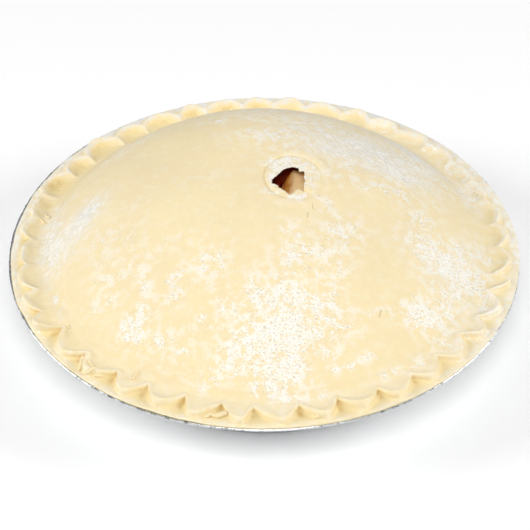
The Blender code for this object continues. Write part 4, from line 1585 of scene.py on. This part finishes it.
class PIE_OT_make_filling(bpy.types.Operator):
    """Makes the filling that shows deep in the vent"""

    bl_idname = "pie.make_filling"
    bl_label = "Filling"

    def execute(self, context):
        mesh = filling_mesh()
        mesh.materials.append(syrupy_filling(context.scene.pie_filling))
        place_piece(new_piece("apple_and_syrup", mesh), "apple_filling", "apple_filling")
        return {"FINISHED"}


class PIE_OT_make_fruit(bpy.types.Operator):
    """Makes the cut pieces of apple that lie open under the vent"""

    bl_idname = "pie.make_fruit"
    bl_label = "Apple pieces"

    def execute(self, context):
        surface = cut_apple(context.scene.pie_filling)
        for number, node in enumerate(PIT_SHADE, 1):
            mesh = fruit_mesh(node, levels=3)
            mesh.materials.append(surface)
            place_piece(new_piece(f"cut_apple_{number}", mesh), "apple_flesh", node)
        return {"FINISHED"}


class PIE_OT_dust_flour(bpy.types.Operator):
    """Scatters loose flour where it lies thick on the pastry"""

    bl_idname = "pie.dust_flour"
    bl_label = "Loose flour"

    def execute(self, context):
        flour = context.scene.pie_flour
        grains = grow(
            "loose_flour", find_pastry().data.copy(), grains_tree(),
            {"Grains per square metre": flour.density, "Smallest": flour.smallest,
             "Largest": flour.largest, "Thickness attribute": "flour", "Faces": 1,
             "Seed": flour.seed, "Flour": dusted_flour(flour)},
        )
        place_piece(grains, "raw_pastry")
        return {"FINISHED"}


class PIE_OT_stick_scraps(bpy.types.Operator):
    """Sticks the trimmed shreds of dough to the edge"""

    bl_idname = "pie.stick_scraps"
    bl_label = "Scraps of dough"

    def execute(self, context):
        pastry = find_pastry()
        mesh = scrap_mesh(pastry)
        mesh.materials.append(pastry.data.materials[0])
        place_piece(new_piece("dough_scraps", mesh), "raw_pastry")
        return {"FINISHED"}


class PIE_PT_panel(bpy.types.Panel):
    """Lists the pieces of the pie with their settings"""

    bl_label = "Apple pie"
    bl_idname = "PIE_PT_panel"
    bl_space_type = "VIEW_3D"
    bl_region_type = "UI"
    bl_category = "Apple pie"

    def draw(self, context):
        for group, operators in PANEL_ROWS:
            box = self.layout.box()
            for operator in operators:
                box.operator(operator)
            settings = getattr(context.scene, group)
            for name in settings.__annotations__:
                box.prop(settings, name)


PANEL_ROWS = (
    ("pie_stage", ("pie.set_stage",)),
    ("pie_tin", ("pie.make_tin",)),
    ("pie_pastry", ("pie.make_pastry", "pie.stick_scraps")),
    ("pie_filling", ("pie.make_filling", "pie.make_fruit")),
    ("pie_flour", ("pie.dust_flour",)),
)

SETTINGS = {
    "pie_stage": PieStageSettings,
    "pie_tin": PieTinSettings,
    "pie_pastry": PiePastrySettings,
    "pie_filling": PieFillingSettings,
    "pie_flour": PieFlourSettings,
}

CLASSES = (
    *SETTINGS.values(), PIE_OT_set_stage, PIE_OT_make_tin, PIE_OT_make_pastry,
    PIE_OT_make_filling, PIE_OT_make_fruit, PIE_OT_dust_flour, PIE_OT_stick_scraps, PIE_PT_panel,
)


def register():
    for made in CLASSES:
        bpy.utils.register_class(made)
    for name, group in SETTINGS.items():
        setattr(bpy.types.Scene, name, PointerProperty(type=group))


def unregister():
    for name in SETTINGS:
        delattr(bpy.types.Scene, name)
    for made in reversed(CLASSES):
        bpy.utils.unregister_class(made)


def main():
    register()
    bpy.ops.pie.set_stage()
    bpy.ops.pie.make_tin()
    bpy.ops.pie.make_pastry()
    bpy.ops.pie.make_filling()
    bpy.ops.pie.make_fruit()
    bpy.ops.pie.dust_flour()
    bpy.ops.pie.stick_scraps()


if __name__ == "__main__":
    main()
